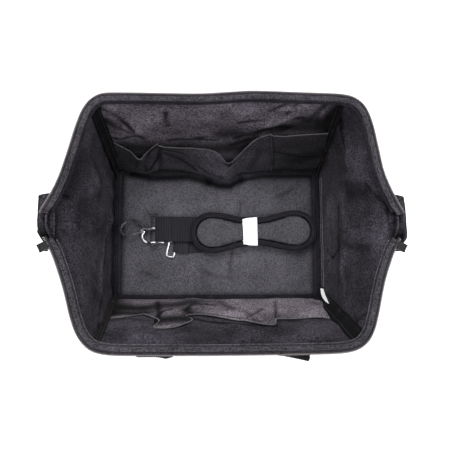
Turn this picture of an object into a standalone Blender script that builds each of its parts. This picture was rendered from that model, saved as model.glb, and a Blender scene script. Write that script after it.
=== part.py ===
"""Open-mouth tool bag with wire mouth frames and a shoulder strap lying inside it.

Metres, +Z up. +X runs to the right end, +Y to the rear wall. The origin is on the surface
that the bag stands on, under its middle.
"""

import math

import bmesh
import bpy
from mathutils import Matrix, Vector

# Gaps between pieces that touch or slide
gap = 0.0003
running_clearance = 0.0003

# Base and floor
base_length = 0.420
base_depth = 0.265
base_corner_radius = 0.014
base_thickness = 0.003
foot_height = 0.006
foot_radius = 0.009
foot_rim = 0.0015
foot_inset = 0.040
board_end_margin = 0.018
board_side_margin = 0.0075
board_thickness = 0.0035
board_corner_radius = 0.008
binding_thickness = 0.0025
binding_clearance = 0.0015

# Body cloth
wall_thickness = 0.003
fold_height = 0.120
seam_half_gap = 0.0008
hem_clearance = 0.0018
tape_width = 0.008
tape_thickness = 0.0014

# Mouth, measured to the outer edge of the zip
mouth_height = 0.270
mouth_depth = 0.376
mouth_bar_length = 0.352
mouth_corner_radius = 0.030
tip_length = 0.518
leg_end_x = 0.231
leg_end_y = 0.072
flare_x = 0.2435
flare_y = 0.036
tip_half_width = 0.016

# Hem, wire and zip
hem_width = 0.0105
hem_height = 0.010
hem_fillet = 0.003
hem_end_y = 0.095
tip_half_gap = 0.0012
wire_radius = 0.0025
wire_end_y = 0.081
zip_width = 0.0032
zip_thickness = 0.0026
end_tab_reach = 0.0075
end_tab_thickness = 0.0012
end_tab_front = 0.021
end_tab_rear = 0.037

# Pockets
pocket_thickness = 0.0022
pocket_depth = 0.014
front_pocket_length = 0.358
front_pocket_height = 0.120
rear_pocket_length = 0.354
rear_pocket_height = 0.135
pocket_foot = 0.022
pocket_divider_x = 0.101

# Carrying handles
webbing_width = 0.050
webbing_thickness = 0.0022
handle_spread = 0.197
handle_drop = 0.118
handle_straight = 0.034
grip_width = 0.027
grip_thickness = 0.0050
strip_foot = 0.004

# D-rings on the ends
tab_width = 0.038
tab_height = 0.040
tab_foot_z = 0.080
d_ring_wire = 0.0019
d_ring_length = 0.043
d_ring_drop = 0.030

# Zip sliders
slider_length = 0.011
slider_width = 0.0095
slider_height = 0.0085
slider_y = 0.031
puller_length = 0.030
puller_width = 0.0075
puller_thickness = 0.0016
puller_pin_radius = 0.0009
puller_hole_radius = 0.0013

# Shoulder strap
pad_length = 0.246
pad_width = 0.079
pad_waist_width = 0.054
pad_thickness = 0.009
pad_end_share = 0.31
pad_waist_share = 0.65
pad_binding = 0.0045
pad_x = 0.068
pad_y = 0.002
pad_turn = math.radians(1.3)
layer_pitch = 0.0054
layer_count = 4
paper_width = 0.030
paper_thickness = 0.0006
paper_x = 0.060
webbing_y = 0.007
loop_return = 0.022
ring_wire = 0.002
ring_length = 0.062
ring_depth = 0.015
ring_corner_radius = 0.005
first_ring_x = -0.120
second_ring_x = -0.082
second_ring_y = -0.018
second_hook_turn = math.radians(-13.0)
first_hook_pitch = math.radians(8)
folded_webbing_end_x = 0.150
folded_webbing_start_x = -0.030
slide_length = 0.060
slide_depth = 0.020
slide_thickness = 0.0016
slide_bar = 0.0024
slide_x = 0.166
slide_weave = 0.0028
slide_weave_shares = ((-1.6, -1), (-1, -1), (-0.7, -1), (-0.2, 1), (0.2, 1), (0.7, -1), (1, -1), (1.5, -1))

# Snap hooks
hook_length = 0.062
hook_width = 0.038
hook_wire = 0.0027
hub_radius = 0.0042
hub_length = 0.0064
stud_radius = 0.0019
stud_head_radius = 0.0032
stud_head_length = 0.0016
collar_radius = 0.0043
collar_length = 0.007
gate_radius = 0.0019
gate_clearance = 0.0006
gate_pin_radius = 0.0007
gate_ear_thickness = 0.0009

# Blank label
label_width = 0.010
label_length = 0.046
label_thickness = 0.0008

# Worked-out places
base_top = foot_height + base_thickness
board_length = base_length - 2 * board_end_margin
board_depth = base_depth - 2 * board_side_margin
board_bottom = base_top + gap
board_top = board_bottom + board_thickness
rim_width = hem_width / 2 + gap + zip_width
wall_bottom = base_top + gap
wall_top = mouth_height - hem_height / 2 - hem_clearance
hem_y = mouth_depth / 2 - rim_width
hem_bar = mouth_bar_length / 2
hem_radius = mouth_corner_radius - rim_width
tip_x = tip_length / 2 - rim_width
fold_share = (fold_height - wall_bottom) / (wall_top - wall_bottom)
facet = math.radians(22.5)
loop_y = -mouth_depth / 2 - gap - webbing_thickness / 2
loop_top = mouth_height + hem_height / 2
half_turn = Matrix.Rotation(math.pi, 4, "Z")

part_collection = bpy.data.collections.new("tool_bag")
cutter_collection = bpy.data.collections.new("cutters")


def clear_scene():
    for obj in list(bpy.data.objects):
        bpy.data.objects.remove(obj)
    bpy.context.scene.collection.children.link(part_collection)
    bpy.context.scene.collection.children.link(cutter_collection)
    cutter_collection.hide_render = True


def lerp(a, b, share):
    return a + (b - a) * share


def finish(name, colour, roughness, metallic=0.0):
    made = bpy.data.materials.new(name)
    made.use_nodes = True
    shader = made.node_tree.nodes["Principled BSDF"]
    shader.inputs["Base Color"].default_value = (*colour, 1.0)
    shader.inputs["Roughness"].default_value = roughness
    shader.inputs["Metallic"].default_value = metallic
    return made


def cloth(name):
    return finish(name, (0.012, 0.012, 0.014), 0.85)


def lining(name):
    return finish(name, (0.045, 0.044, 0.050), 0.90)


def webbing(name):
    return finish(name, (0.009, 0.009, 0.010), 0.80)


def tape(name):
    return finish(name, (0.008, 0.008, 0.009), 0.75)


def steel(name):
    return finish(name, (0.55, 0.55, 0.56), 0.30, 1.0)


def dark_metal(name):
    return finish(name, (0.10, 0.10, 0.11), 0.32, 1.0)


def rubber(name):
    return finish(name, (0.010, 0.010, 0.010), 0.70)


def paper(name):
    return finish(name, (0.78, 0.78, 0.78), 0.60)


def add_object(name, data, material, where=None):
    obj = bpy.data.objects.new(name, data)
    part_collection.objects.link(obj)
    if material:
        data.materials.append(material(name))
    if where:
        obj.matrix_world = where
    return obj


def solidify(obj, thickness, offset):
    shell = obj.modifiers.new("Thickness", "SOLIDIFY")
    shell.thickness = thickness
    shell.offset = offset
    shell.use_even_offset = True


def mesh_from(name, verts, faces, smooth=True):
    data = bpy.data.meshes.new(name)
    data.from_pydata([tuple(v) for v in verts], [], faces)
    if smooth:
        data.shade_smooth()
        data.set_sharp_from_angle(angle=math.radians(40))
    return data


def skin(name, rows, thickness, material, where=None):
    """A sheet through rows of points, thickened on its inner side."""
    across = len(rows[0])
    verts = [p for row in rows for p in row]
    faces = []
    for r in range(len(rows) - 1):
        for c in range(across - 1):
            first = r * across + c
            faces.append((first, first + 1, first + across + 1, first + across))
    obj = add_object(name, mesh_from(name, verts, faces), material, where)
    solidify(obj, thickness, -1.0)
    return obj


def sweep(name, path, profile_at, hold, material, inner_at=None, closed=False, where=None):
    """Carries a closed outline along a path. The outline's second axis is held parallel to hold."""
    path = [Vector(p) for p in path]
    hold = Vector(hold).normalized()
    count = len(path)
    verts, faces, sizes = [], [], []

    def direction(a, b):
        return (path[b % count] - path[a % count]).normalized()

    for i, point in enumerate(path):
        after = direction(i, i + 1) if closed or i < count - 1 else direction(i - 1, i)
        before = direction(i - 1, i) if closed or i > 0 else after
        tangent = (before + after).normalized()
        side = tangent.cross(hold).normalized()
        stretch = 1 / max(0.5, before.dot(tangent))
        loops = [profile_at(i)] + ([inner_at(i)] if inner_at else [])
        sizes = [len(loop) for loop in loops]
        for loop in loops:
            verts += [point + side * (a * stretch) + hold * b for a, b in loop]

    ring = sum(sizes)
    starts = [0, sizes[0]]
    for i in range(count if closed else count - 1):
        here, there = i * ring, ((i + 1) % count) * ring
        for loop, size in enumerate(sizes):
            for k in range(size):
                a, b = starts[loop] + k, starts[loop] + (k + 1) % size
                face = (here + a, here + b, there + b, there + a)
                faces.append(face if loop else face[::-1])
    if not closed:
        last = (count - 1) * ring
        if inner_at:
            size = sizes[0]
            for k in range(size):
                a, b = k, (k + 1) % size
                faces.append((a, b, size + b, size + a))
                faces.append((last + b, last + a, last + size + a, last + size + b))
        else:
            faces.append(tuple(range(ring)))
            faces.append(tuple(last + k for k in reversed(range(ring))))
    data = mesh_from(name, verts, faces)
    shape = bmesh.new()
    shape.from_mesh(data)
    bmesh.ops.recalc_face_normals(shape, faces=shape.faces)
    shape.to_mesh(data)
    shape.free()
    return add_object(name, data, material, where)


def rectangle(width, height):
    return [
        (-width / 2, -height / 2),
        (width / 2, -height / 2),
        (width / 2, height / 2),
        (-width / 2, height / 2),
    ]


def rounded_rectangle(width, height, radius, steps=2):
    outline = []
    for quarter, (sx, sy) in enumerate(((1, 1), (-1, 1), (-1, -1), (1, -1))):
        for k in range(steps + 1):
            angle = math.pi / 2 * (quarter + k / steps)
            x = sx * (width / 2 - radius) + radius * math.cos(angle)
            y = sy * (height / 2 - radius) + radius * math.sin(angle)
            outline.append((x, y))
    return outline


def polygon(radius, sides, turn_share=0.5):
    return [
        (
            radius * math.cos(math.tau * (k + turn_share) / sides),
            radius * math.sin(math.tau * (k + turn_share) / sides),
        )
        for k in range(sides)
    ]


def ribbon(name, path, width, thickness, hold, material, where=None):
    """Flat webbing along a path, its width parallel to hold."""
    return sweep(name, path, lambda i: rectangle(thickness, width), hold, material, where=where)


def plate(name, outline, z_low, z_high, material, where=None):
    """A flat outline extruded upwards."""
    data = bpy.data.curves.new(name, "CURVE")
    data.dimensions = "2D"
    data.fill_mode = "BOTH"
    data.extrude = (z_high - z_low) / 2
    spline = data.splines.new("POLY")
    spline.points.add(len(outline) - 1)
    for point, (x, y) in zip(spline.points, outline):
        point.co = (x, y, 0.0, 1.0)
    spline.use_cyclic_u = True
    placed = (where or Matrix()) @ Matrix.Translation((0, 0, (z_low + z_high) / 2))
    return add_object(name, data, material, placed)


def wire(name, points, radius, material, closed=False, where=None, rings=2):
    """Round bar bent along points."""
    data = bpy.data.curves.new(name, "CURVE")
    data.dimensions = "3D"
    data.bevel_depth = radius
    data.bevel_resolution = rings
    data.use_fill_caps = not closed
    spline = data.splines.new("POLY")
    spline.points.add(len(points) - 1)
    for point, place in zip(spline.points, points):
        point.co = (*place, 1.0)
    spline.use_cyclic_u = closed
    return add_object(name, data, material, where)


def as_mesh(obj):
    """The same object as a mesh, with a curve's caps welded to its sides."""
    graph = bpy.context.evaluated_depsgraph_get()
    data = bpy.data.meshes.new_from_object(obj.evaluated_get(graph))
    shape = bmesh.new()
    shape.from_mesh(data)
    bmesh.ops.remove_doubles(shape, verts=shape.verts, dist=gap / 300)
    shape.to_mesh(data)
    shape.free()
    name, placed = obj.name, obj.matrix_world.copy()
    bpy.data.objects.remove(obj)
    return add_object(name, data, None, placed)


def rod(name, start, end, radius, sides=12):
    """A plain round bar between two points, as a cutter or a piece to join."""
    start, end = Vector(start), Vector(end)
    shape = bmesh.new()
    bmesh.ops.create_cone(
        shape,
        cap_ends=True,
        segments=sides,
        radius1=radius,
        radius2=radius,
        depth=(end - start).length,
    )
    data = bpy.data.meshes.new(name)
    shape.to_mesh(data)
    shape.free()
    obj = bpy.data.objects.new(name, data)
    turn = (end - start).to_track_quat("Z", "Y").to_matrix().to_4x4()
    obj.matrix_world = Matrix.Translation((start + end) / 2) @ turn
    return as_tool(obj)


def block(name, low, high, where=None):
    """A plain box between two corners, as a cutter or a piece to join."""
    shape = bmesh.new()
    bmesh.ops.create_cube(shape, size=1.0)
    low, high = Vector(low), Vector(high)
    for vert in shape.verts:
        vert.co = Vector(lerp(low[k], high[k], vert.co[k] + 0.5) for k in range(3))
    data = bpy.data.meshes.new(name)
    shape.to_mesh(data)
    shape.free()
    obj = bpy.data.objects.new(name, data)
    if where:
        obj.matrix_world = where
    return as_tool(obj)


def prism(name, outline, z_low, z_high):
    """A flat outline extruded upwards, as a cutter or a piece to cut."""
    shape = bmesh.new()
    base = shape.faces.new([shape.verts.new((x, y, z_low)) for x, y in outline])
    grown = bmesh.ops.extrude_face_region(shape, geom=[base])
    raised = [item for item in grown["geom"] if isinstance(item, bmesh.types.BMVert)]
    bmesh.ops.translate(shape, vec=(0, 0, z_high - z_low), verts=raised)
    bmesh.ops.recalc_face_normals(shape, faces=shape.faces)
    data = bpy.data.meshes.new(name)
    shape.to_mesh(data)
    shape.free()
    return as_tool(bpy.data.objects.new(name, data))


def as_tool(obj):
    cutter_collection.objects.link(obj)
    obj.hide_render = True
    obj.display_type = "WIRE"
    return obj


def boolean(obj, other, operation):
    step = obj.modifiers.new(other.name, "BOOLEAN")
    step.operation = operation
    step.object = other


def corner(share):
    """Centre and radius of the body's corner, at a share of the way up to the hem."""
    radius = lerp(base_corner_radius, hem_radius, share)
    x = lerp(base_length / 2 - base_corner_radius, hem_bar, share)
    y = lerp(base_depth / 2, hem_y, share) - radius
    return x, y, radius


def bezier(a, b, c, d, steps):
    a, b, c, d = (Vector(p) for p in (a, b, c, d))
    made = []
    for k in range(steps + 1):
        t = k / steps
        made.append((1 - t) ** 3 * a + 3 * (1 - t) ** 2 * t * b + 3 * (1 - t) * t**2 * c + t**3 * d)
    return made


def arc(x, y, radius, start, end, steps):
    made = []
    for k in range(steps + 1):
        angle = lerp(start, end, k / steps)
        made.append(Vector((x + radius * math.cos(angle), y + radius * math.sin(angle))))
    return made


def leg_lean():
    """Angle at which the mouth's corner runs into its slanting leg."""
    x, y, radius = corner(1)
    away = Vector((leg_end_x - rim_width - x, leg_end_y - y))
    return math.atan2(away.y, away.x) + math.acos(radius / away.length)


def leg_curve():
    """The hem's soft end, from the end of the straight leg to the tip."""
    return bezier(
        (leg_end_x - rim_width, leg_end_y),
        (flare_x - rim_width, flare_y),
        (tip_x, tip_half_width),
        (tip_x, 0),
        6,
    )


def mouth_quadrant():
    """The hem's middle line over one quarter, from the tip to the middle of the bar."""
    x, y, radius = corner(1)
    round_part = arc(x, y, radius, leg_lean(), math.pi / 2, 4)
    return leg_curve()[::-1] + round_part + [Vector((0, hem_y))]


def cut_between(path, low, high):
    """The stretch of a path whose y lies between two values."""
    made = []
    for a, b in zip(path, path[1:]):
        for edge in (low, high):
            if (a.y - edge) * (b.y - edge) < 0:
                made.append(a.lerp(b, (edge - a.y) / (b.y - a.y)))
        if low <= b.y <= high:
            made.append(b)
    if low <= path[0].y <= high:
        made.insert(0, path[0])
    return made


def front_half(low):
    """The mouth's middle line round the front, from the left side to the right."""
    quarter = [p for p in cut_between(mouth_quadrant(), low, hem_y) if p.x > 0]
    left = [Vector((-p.x, -p.y, mouth_height)) for p in quarter]
    return left + [Vector((p.x, -p.y, mouth_height)) for p in reversed(quarter)]


def wall_row(share):
    x, y, radius = corner(share)
    seam = math.radians(45) + seam_half_gap / radius
    quarter = [Vector((x / 2, y + radius))] + arc(x, y, radius, math.pi / 2, seam, 3)
    z = lerp(wall_bottom, wall_top, share)
    left = [Vector((-p.x, -p.y, z)) for p in reversed(quarter)]
    return left + [Vector((0, -y - radius, z))] + [Vector((p.x, -p.y, z)) for p in quarter]


def end_row(share):
    x, y, radius = corner(share)
    flare = max(0, (share - fold_share) / (1 - fold_share)) ** 1.25
    seam = math.radians(45) - seam_half_gap / radius
    quarter = arc(x, y, radius, seam, leg_lean() * flare, 3)
    quarter += [Vector((lerp(base_length / 2, p.x, flare), p.y)) for p in leg_curve()]
    z = lerp(wall_bottom, wall_top, share)
    front = [Vector((p.x, -p.y, z)) for p in quarter]
    return front + [Vector((p.x, p.y, z)) for p in reversed(quarter[:-1])]


def build_walls():
    rows = [wall_row(k / 4) for k in range(5)]
    skin("front_wall", rows, wall_thickness, cloth)
    skin("rear_wall", rows, wall_thickness, cloth, half_turn)
    seam_share = gap / (wall_top - wall_bottom)
    low = [end_row(fold_share * k / 2 - (seam_share if k == 2 else 0)) for k in range(3)]
    high = [end_row(lerp(fold_share + seam_share, 1, k / 5)) for k in range(6)]
    for side, where in (("right", None), ("left", half_turn)):
        skin(side + "_end_panel", low, wall_thickness, cloth, where)
        skin(side + "_end_gusset", high, wall_thickness, cloth, where)


def build_base():
    outline = rounded_rectangle(base_length, base_depth, base_corner_radius, 3)
    plate("base_panel", outline, foot_height, base_top, cloth)
    board = rounded_rectangle(board_length, board_depth, board_corner_radius, 2)
    plate("floor_board", board, board_bottom, board_top, lining)
    inner_length = base_length - 2 * wall_thickness - 2 * binding_clearance
    inner_depth = base_depth - 2 * wall_thickness - 2 * binding_clearance
    inner_radius = base_corner_radius - wall_thickness
    floor_outline = rounded_rectangle(inner_length, inner_depth, inner_radius, 2)
    plate("floor_binding", floor_outline, board_bottom, board_bottom + binding_thickness, tape)
    over = 2 * binding_thickness
    opening = (board_length / 2 + gap, board_depth / 2 + gap)
    cut = block(
        "floor_opening",
        (-opening[0], -opening[1], board_bottom - over),
        (opening[0], opening[1], board_bottom + over),
    )
    binding = as_mesh(bpy.data.objects["floor_binding"])
    boolean(binding, cut, "DIFFERENCE")
    for side, x_sign in (("left", -1), ("right", 1)):
        for face, y_sign in (("front", -1), ("rear", 1)):
            x = x_sign * (base_length / 2 - foot_inset)
            y = y_sign * (base_depth / 2 - foot_inset)
            build_foot(face + "_" + side + "_foot", x, y)


def build_foot(name, x, y):
    top = foot_height - gap
    profile = [(0, top), (foot_radius, top), (foot_radius, foot_rim), (foot_radius - foot_rim, 0), (0, 0)]
    data = mesh_from(name, [(r, 0, z) for r, z in profile], [])
    data.edges.add(len(profile) - 1)
    for k, edge in enumerate(data.edges):
        edge.vertices = (k, k + 1)
    foot = add_object(name, data, rubber, Matrix.Translation((x, y, 0)))
    turned = foot.modifiers.new("Turned", "SCREW")
    turned.steps = turned.render_steps = 20
    turned.use_merge_vertices = True
    turned.merge_threshold = gap / 30


def build_corner_tapes():
    for name, x_sign, y_sign in (
        ("front_left", -1, -1),
        ("front_right", 1, -1),
        ("rear_left", -1, 1),
        ("rear_right", 1, 1),
    ):
        path = []
        for k in range(5):
            start = (board_top + binding_thickness - wall_bottom) / (wall_top - wall_bottom)
            share = lerp(start, 1 - start, k / 4)
            x, y, radius = corner(share)
            bow = radius - wall_thickness - gap
            chord = math.sqrt(bow**2 - (tape_width / 2) ** 2)
            out = (chord - tape_thickness) * math.sqrt(0.5)
            path.append((x_sign * (x + out), y_sign * (y + out), lerp(wall_bottom, wall_top, share)))
        across = (x_sign, -y_sign, 0)
        ribbon(name + "_corner_tape", path, tape_width, tape_thickness, across, tape)


def build_mouth():
    bore = (wire_radius + gap) / math.cos(facet)
    outer = rounded_rectangle(hem_width, hem_height, hem_fillet, 1)
    inner = polygon(bore, 8)
    zip_shift = hem_width / 2 + gap + zip_width / 2
    zip_outline = [(a + zip_shift, b) for a, b in rectangle(zip_width, zip_thickness)]
    for face, where in (("front", None), ("rear", half_turn)):
        wire(face + "_frame_wire", front_half(wire_end_y), wire_radius, steel, where=where)
        sweep(face + "_hem", front_half(hem_end_y), lambda i: outer, (0, 0, 1), cloth,
              inner_at=lambda i: inner, where=where)
        sweep(face + "_zip_half", front_half(tip_half_gap), lambda i: zip_outline, (0, 0, 1), tape, where=where)
        quarter = cut_between(mouth_quadrant(), tip_half_gap, hem_end_y - gap)
        left = [Vector((-p.x, -p.y, mouth_height)) for p in quarter]
        right = [Vector((p.x, -p.y, mouth_height)) for p in reversed(quarter)]
        sides = ("left", "right") if face == "front" else ("right", "left")
        for side, path in zip(sides, (left, right)):
            sweep(face + "_" + side + "_hem_end", path, lambda i: outer, (0, 0, 1), cloth,
                  inner_at=lambda i: inner, where=where)


def wall_frame(height, x):
    """A frame on the front wall's inner face: X along the wall, Y up it, Z into the bag."""
    run = Vector((0, hem_y - base_depth / 2, wall_top - wall_bottom)).normalized()
    up = Vector((0, -run.y, run.z))
    inward = Vector((1, 0, 0)).cross(up)
    foot = Vector((x, -base_depth / 2, wall_bottom)) + inward * -(wall_thickness + gap)
    turn = Matrix((Vector((1, 0, 0)), up, -inward)).transposed().to_4x4()
    return Matrix.Translation(foot + up * height) @ turn


def build_pocket(name, length, height, divider_x, where):
    """A pocket sewn to the wall at its foot and sides, open along its top."""
    pocket = plate(name, rounded_rectangle(length, height, pocket_thickness), 0, pocket_depth, lining)
    pocket.matrix_world = where @ Matrix.Translation((0, height / 2, pocket_depth / 2))
    pocket = as_mesh(pocket)
    over = pocket_depth
    stops = [-length / 2 + pocket_thickness, length / 2 - pocket_thickness]
    if divider_x:
        stops[1:1] = [divider_x - pocket_thickness / 2, divider_x + pocket_thickness / 2]
    for number, (left, right) in enumerate(zip(stops[::2], stops[1::2])):
        hollow = block(
            name + "_hollow_" + str(number),
            (left, pocket_thickness, -over),
            (right, height + over, pocket_depth - pocket_thickness),
            where,
        )
        boolean(pocket, hollow, "DIFFERENCE")


def build_end_tabs():
    """Cloth folded over the ends of both zip halves, where they meet at each tip."""
    front = [Vector((p.x, -p.y, mouth_height)) for p in cut_between(mouth_quadrant(), 0, end_tab_front)]
    rear = [Vector((p.x, p.y, mouth_height)) for p in cut_between(mouth_quadrant(), 0, end_tab_rear)]
    path = front[::-1] + rear[1:]
    low = hem_width / 2 + 2 * gap
    slot = low + zip_width + gap
    out = slot + end_tab_reach
    slot_half = zip_thickness / 2 + gap
    half = slot_half + end_tab_thickness
    outline = [(low, half), (out, half / 2), (out, -half / 2), (low, -half)]
    outline += [(low, -slot_half), (slot, -slot_half), (slot, slot_half), (low, slot_half)]
    for side, turn in (("right", Matrix()), ("left", Matrix.Diagonal((-1, 1, 1, 1)))):
        tab = sweep(side + "_zip_end_tab", path, lambda i: outline, (0, 0, 1), tape)
        tab.data.transform(turn)
        if side == "left":
            tab.data.flip_normals()


def build_pockets():
    front = wall_frame(pocket_foot, 0)
    rear = half_turn @ front
    build_pocket("front_pocket", front_pocket_length, front_pocket_height, pocket_divider_x, front)
    build_pocket("rear_pocket", rear_pocket_length, rear_pocket_height, 0, rear)


def build_label():
    """A short bare tape sewn along the seam of the right end panel, beside the front corner."""
    path = []
    for k in range(3):
        z = board_top + binding_thickness + label_length * k / 2
        share = (z - wall_bottom) / (wall_top - wall_bottom)
        x, y, radius = corner(share)
        inside = x + radius - wall_thickness - gap - label_thickness
        path.append(Vector((inside, -y + label_width / 2, z)))
    ribbon("blank_label", path, label_width, label_thickness, (0, 1, 0), paper)


def build_handles():
    """Strips sewn up the outside of each long wall, and a loop that hangs from the hem."""
    lean = (hem_y - base_depth / 2) / (wall_top - wall_bottom)
    off = (webbing_thickness / 2 + gap) * math.sqrt(1 + lean**2)
    for face, where in (("front", None), ("rear", half_turn)):
        for side, x in (("left", -handle_spread / 2), ("right", handle_spread / 2)):
            if face == "rear":
                x = -x
            low = (x, -base_depth / 2 - off - lean * strip_foot, wall_bottom + strip_foot)
            high = (x, -hem_y - off + lean * strip_foot, wall_top - strip_foot)
            name = face + "_" + side + "_handle_strip"
            ribbon(name, [low, high], webbing_width, webbing_thickness, (1, 0, 0), webbing, where)
        build_loop(face + "_handle_loop", where)


def build_loop(name, where):
    """Flat webbing legs whose middle is folded in half to make the grip."""
    radius = handle_drop - handle_straight - grip_width / 2
    half = handle_spread / 2
    z = loop_top - handle_straight
    quarter = [Vector((half, loop_y, loop_top)), Vector((half, loop_y, lerp(loop_top, z, 0.5)))]
    for k in range(6):
        angle = math.pi / 2 * k / 5
        x = half - radius + radius * math.cos(angle)
        quarter.append(Vector((x, loop_y, z - radius * math.sin(angle))))
    left = [Vector((-p.x, p.y, p.z)) for p in quarter]
    path = quarter + left[::-1]

    def outline(i):
        k = min(i, len(path) - 1 - i)
        folded = min(1, max(0, (k - 1) / 5))
        return rectangle(
            lerp(webbing_width, grip_width, folded), lerp(webbing_thickness, grip_thickness, folded)
        )

    sweep(name, path, outline, (0, 1, 0), webbing, where=where)


def build_d_rings():
    """A webbing tab folded round the straight bar of a D-ring, on the middle of each end."""
    inner_x = base_length / 2 + gap + webbing_thickness / 2
    bend = d_ring_wire + gap + webbing_thickness / 2
    bar_x = inner_x + bend
    top = tab_foot_z + tab_height
    path = [Vector((inner_x, 0, top))]
    for k in range(9):
        angle = math.pi + math.pi * k / 8
        path.append(Vector((bar_x + bend * math.cos(angle), 0, tab_foot_z + bend * math.sin(angle))))
    path.append(Vector((bar_x + bend, 0, top)))
    half = d_ring_length / 2
    ring = [Vector((bar_x, -half, tab_foot_z)), Vector((bar_x, half, tab_foot_z))]
    straight = d_ring_drop - half
    for k in range(11):
        angle = math.pi * k / 10
        drop = tab_foot_z - straight - half * math.sin(angle)
        ring.append(Vector((bar_x, half * math.cos(angle), drop)))
    for side, where in (("right", None), ("left", half_turn)):
        ribbon(side + "_ring_tab", path, tab_width, webbing_thickness, (0, 1, 0), webbing, where)
        wire(side + "_d_ring", ring, d_ring_wire, dark_metal, closed=True, where=where)


def slider_frame():
    """Where the zip slider rides on the front half at the right tip: X outward, Y along the zip."""
    path = cut_between(mouth_quadrant(), 0, slider_y)
    here, before = path[-1], path[-2]
    along = Vector((here.x - before.x, -(here.y - before.y), 0)).normalized()
    outward = Vector((-along.y, along.x, 0))
    turn = Matrix((outward, along, Vector((0, 0, 1)))).transposed().to_4x4()
    return Matrix.Translation((here.x, -here.y, mouth_height)) @ turn


def build_sliders():
    place = slider_frame()
    low = hem_width / 2 + 2 * gap
    out = low + slider_width
    pin_x = out + puller_hole_radius + puller_thickness / 2 + running_clearance
    ear = puller_thickness
    inside = puller_width / 2 + running_clearance
    for side in ("right", "left"):
        mirror = Matrix.Diagonal((1 if side == "right" else -1, 1, 1, 1))
        slider = block(
            side + "_slider_body",
            (low, -slider_length / 2, -slider_height / 2),
            (out, slider_length / 2, slider_height / 2),
        )
        zip_slot = block(
            side + "_zip_slot",
            (low - slider_width, -slider_length, -zip_thickness / 2 - gap),
            (low + zip_width + gap, slider_length, zip_thickness / 2 + gap),
        )
        boolean(slider, zip_slot, "DIFFERENCE")
        for number, y in enumerate((-inside - ear, inside)):
            reach = pin_x + 2 * puller_pin_radius
            ear_block = block(
                side + "_ear_" + str(number),
                (out - ear, y, -slider_height / 4),
                (reach, y + ear, slider_height / 4),
            )
            boolean(slider, ear_block, "UNION")
        pin = rod(
            side + "_puller_pin",
            (pin_x, -inside - ear / 2, 0),
            (pin_x, inside + ear / 2, 0),
            puller_pin_radius,
            8,
        )
        boolean(slider, pin, "UNION")
        settle(side + "_zip_slider", slider, mirror @ place, dark_metal)
        build_puller(side, mirror @ place @ Matrix.Translation((pin_x, 0, 0)))


def build_puller(side, where):
    """A flat pull with a rolled eye, hanging straight down from its pin."""
    outline = rounded_rectangle(puller_length, puller_width, puller_width / 3, 3)
    outline = [(x + puller_length / 2, y) for x, y in outline]
    half = puller_thickness / 2
    puller = prism(side + "_puller_body", outline, -half, half)
    reach = puller_width / 2
    for use, radius, over, operation in (
        ("barrel", puller_hole_radius + half, 0, "UNION"),
        ("bore", puller_hole_radius, half, "DIFFERENCE"),
    ):
        name = side + "_puller_" + use
        tool = rod(name, (0, -reach - over, 0), (0, reach + over, 0), radius)
        boolean(puller, tool, operation)
    settle(side + "_zip_puller", puller, where @ Matrix.Rotation(math.pi / 2, 4, "Y"), dark_metal)


def settle(name, tool, where, material):
    """Takes a worked piece from among the cutters and puts it in its place."""
    bpy.context.view_layer.update()
    graph = bpy.context.evaluated_depsgraph_get()
    data = bpy.data.meshes.new_from_object(tool.evaluated_get(graph))
    placed = where @ tool.matrix_world
    data.transform(placed)
    if placed.determinant() < 0:
        data.flip_normals()
    data.shade_smooth()
    data.set_sharp_from_angle(angle=math.radians(40))
    return add_object(name, data, material)


def pad_half_width(x):
    """Half the pad's width: two round lobes joined by a narrower waist."""
    share = min(1, abs(x) / (pad_length / 2))
    end = (1 - share**2) ** pad_end_share
    waist = (1 + math.cos(math.pi * share / pad_waist_share)) / 2 if share < pad_waist_share else 0
    return lerp(pad_width, pad_waist_width, waist) / 2 * end


def pad_outline(inset):
    """The pad seen from above, drawn in from its edge by an even amount."""
    steps = 22
    edge = []
    for k in range(2 * steps):
        x = pad_length / 2 * math.cos(math.pi * k / steps)
        edge.append(Vector((x, pad_half_width(x) * (1 if k < steps else -1))))
    made = []
    for k, point in enumerate(edge):
        before = (point - edge[k - 1]).normalized()
        after = (edge[(k + 1) % len(edge)] - point).normalized()
        along = (before + after).normalized()
        inward = Vector((-along.y, along.x))
        made.append(point + inward * (inset / before.dot(along)))
    return made


def layer_z(layer):
    return board_top + gap + webbing_thickness / 2 + layer * layer_pitch


def build_pad():
    low = layer_z(layer_count - 1) + webbing_thickness / 2 + gap + paper_thickness + gap
    place = Matrix.Translation((pad_x, pad_y, low)) @ Matrix.Rotation(pad_turn, 4, "Z")
    inside = pad_outline(pad_binding + gap)
    plate("shoulder_pad", inside, 0, pad_thickness, lining, place)
    middle = [Vector((x, y, pad_thickness / 2)) for x, y in pad_outline(pad_binding / 2)]
    edge = rounded_rectangle(pad_binding, pad_thickness, pad_binding / 4, 1)
    sweep("pad_binding", middle, lambda i: edge, (0, 0, 1), tape, closed=True, where=place)
    offset = paper_x - pad_x
    widest = max(pad_half_width(offset + shift) for shift in (-paper_width / 2, paper_width / 2))
    half = widest + paper_thickness + 2 * gap
    tall = pad_thickness / 2 + gap + paper_thickness / 2
    loop = [(0, a, b) for a, b in rounded_rectangle(2 * half, 2 * tall, pad_binding / 3, 2)]
    around = Matrix.Translation((paper_x, pad_y, low + pad_thickness / 2))
    outline = rectangle(paper_thickness, paper_width)
    sweep("paper_band", loop, lambda i: outline, (1, 0, 0), paper, closed=True,
          where=around @ Matrix.Rotation(pad_turn, 4, "Z"))


def hairpin(x, z, radius, turns):
    """Half a turn in the XZ plane, from the upper run to the lower, opening towards +X or -X."""
    made = []
    for k in range(7):
        angle = math.pi / 2 - turns * math.pi * k / 6
        made.append(Vector((x + radius * math.cos(angle), 0, z + radius * math.sin(angle))))
    return made


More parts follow.
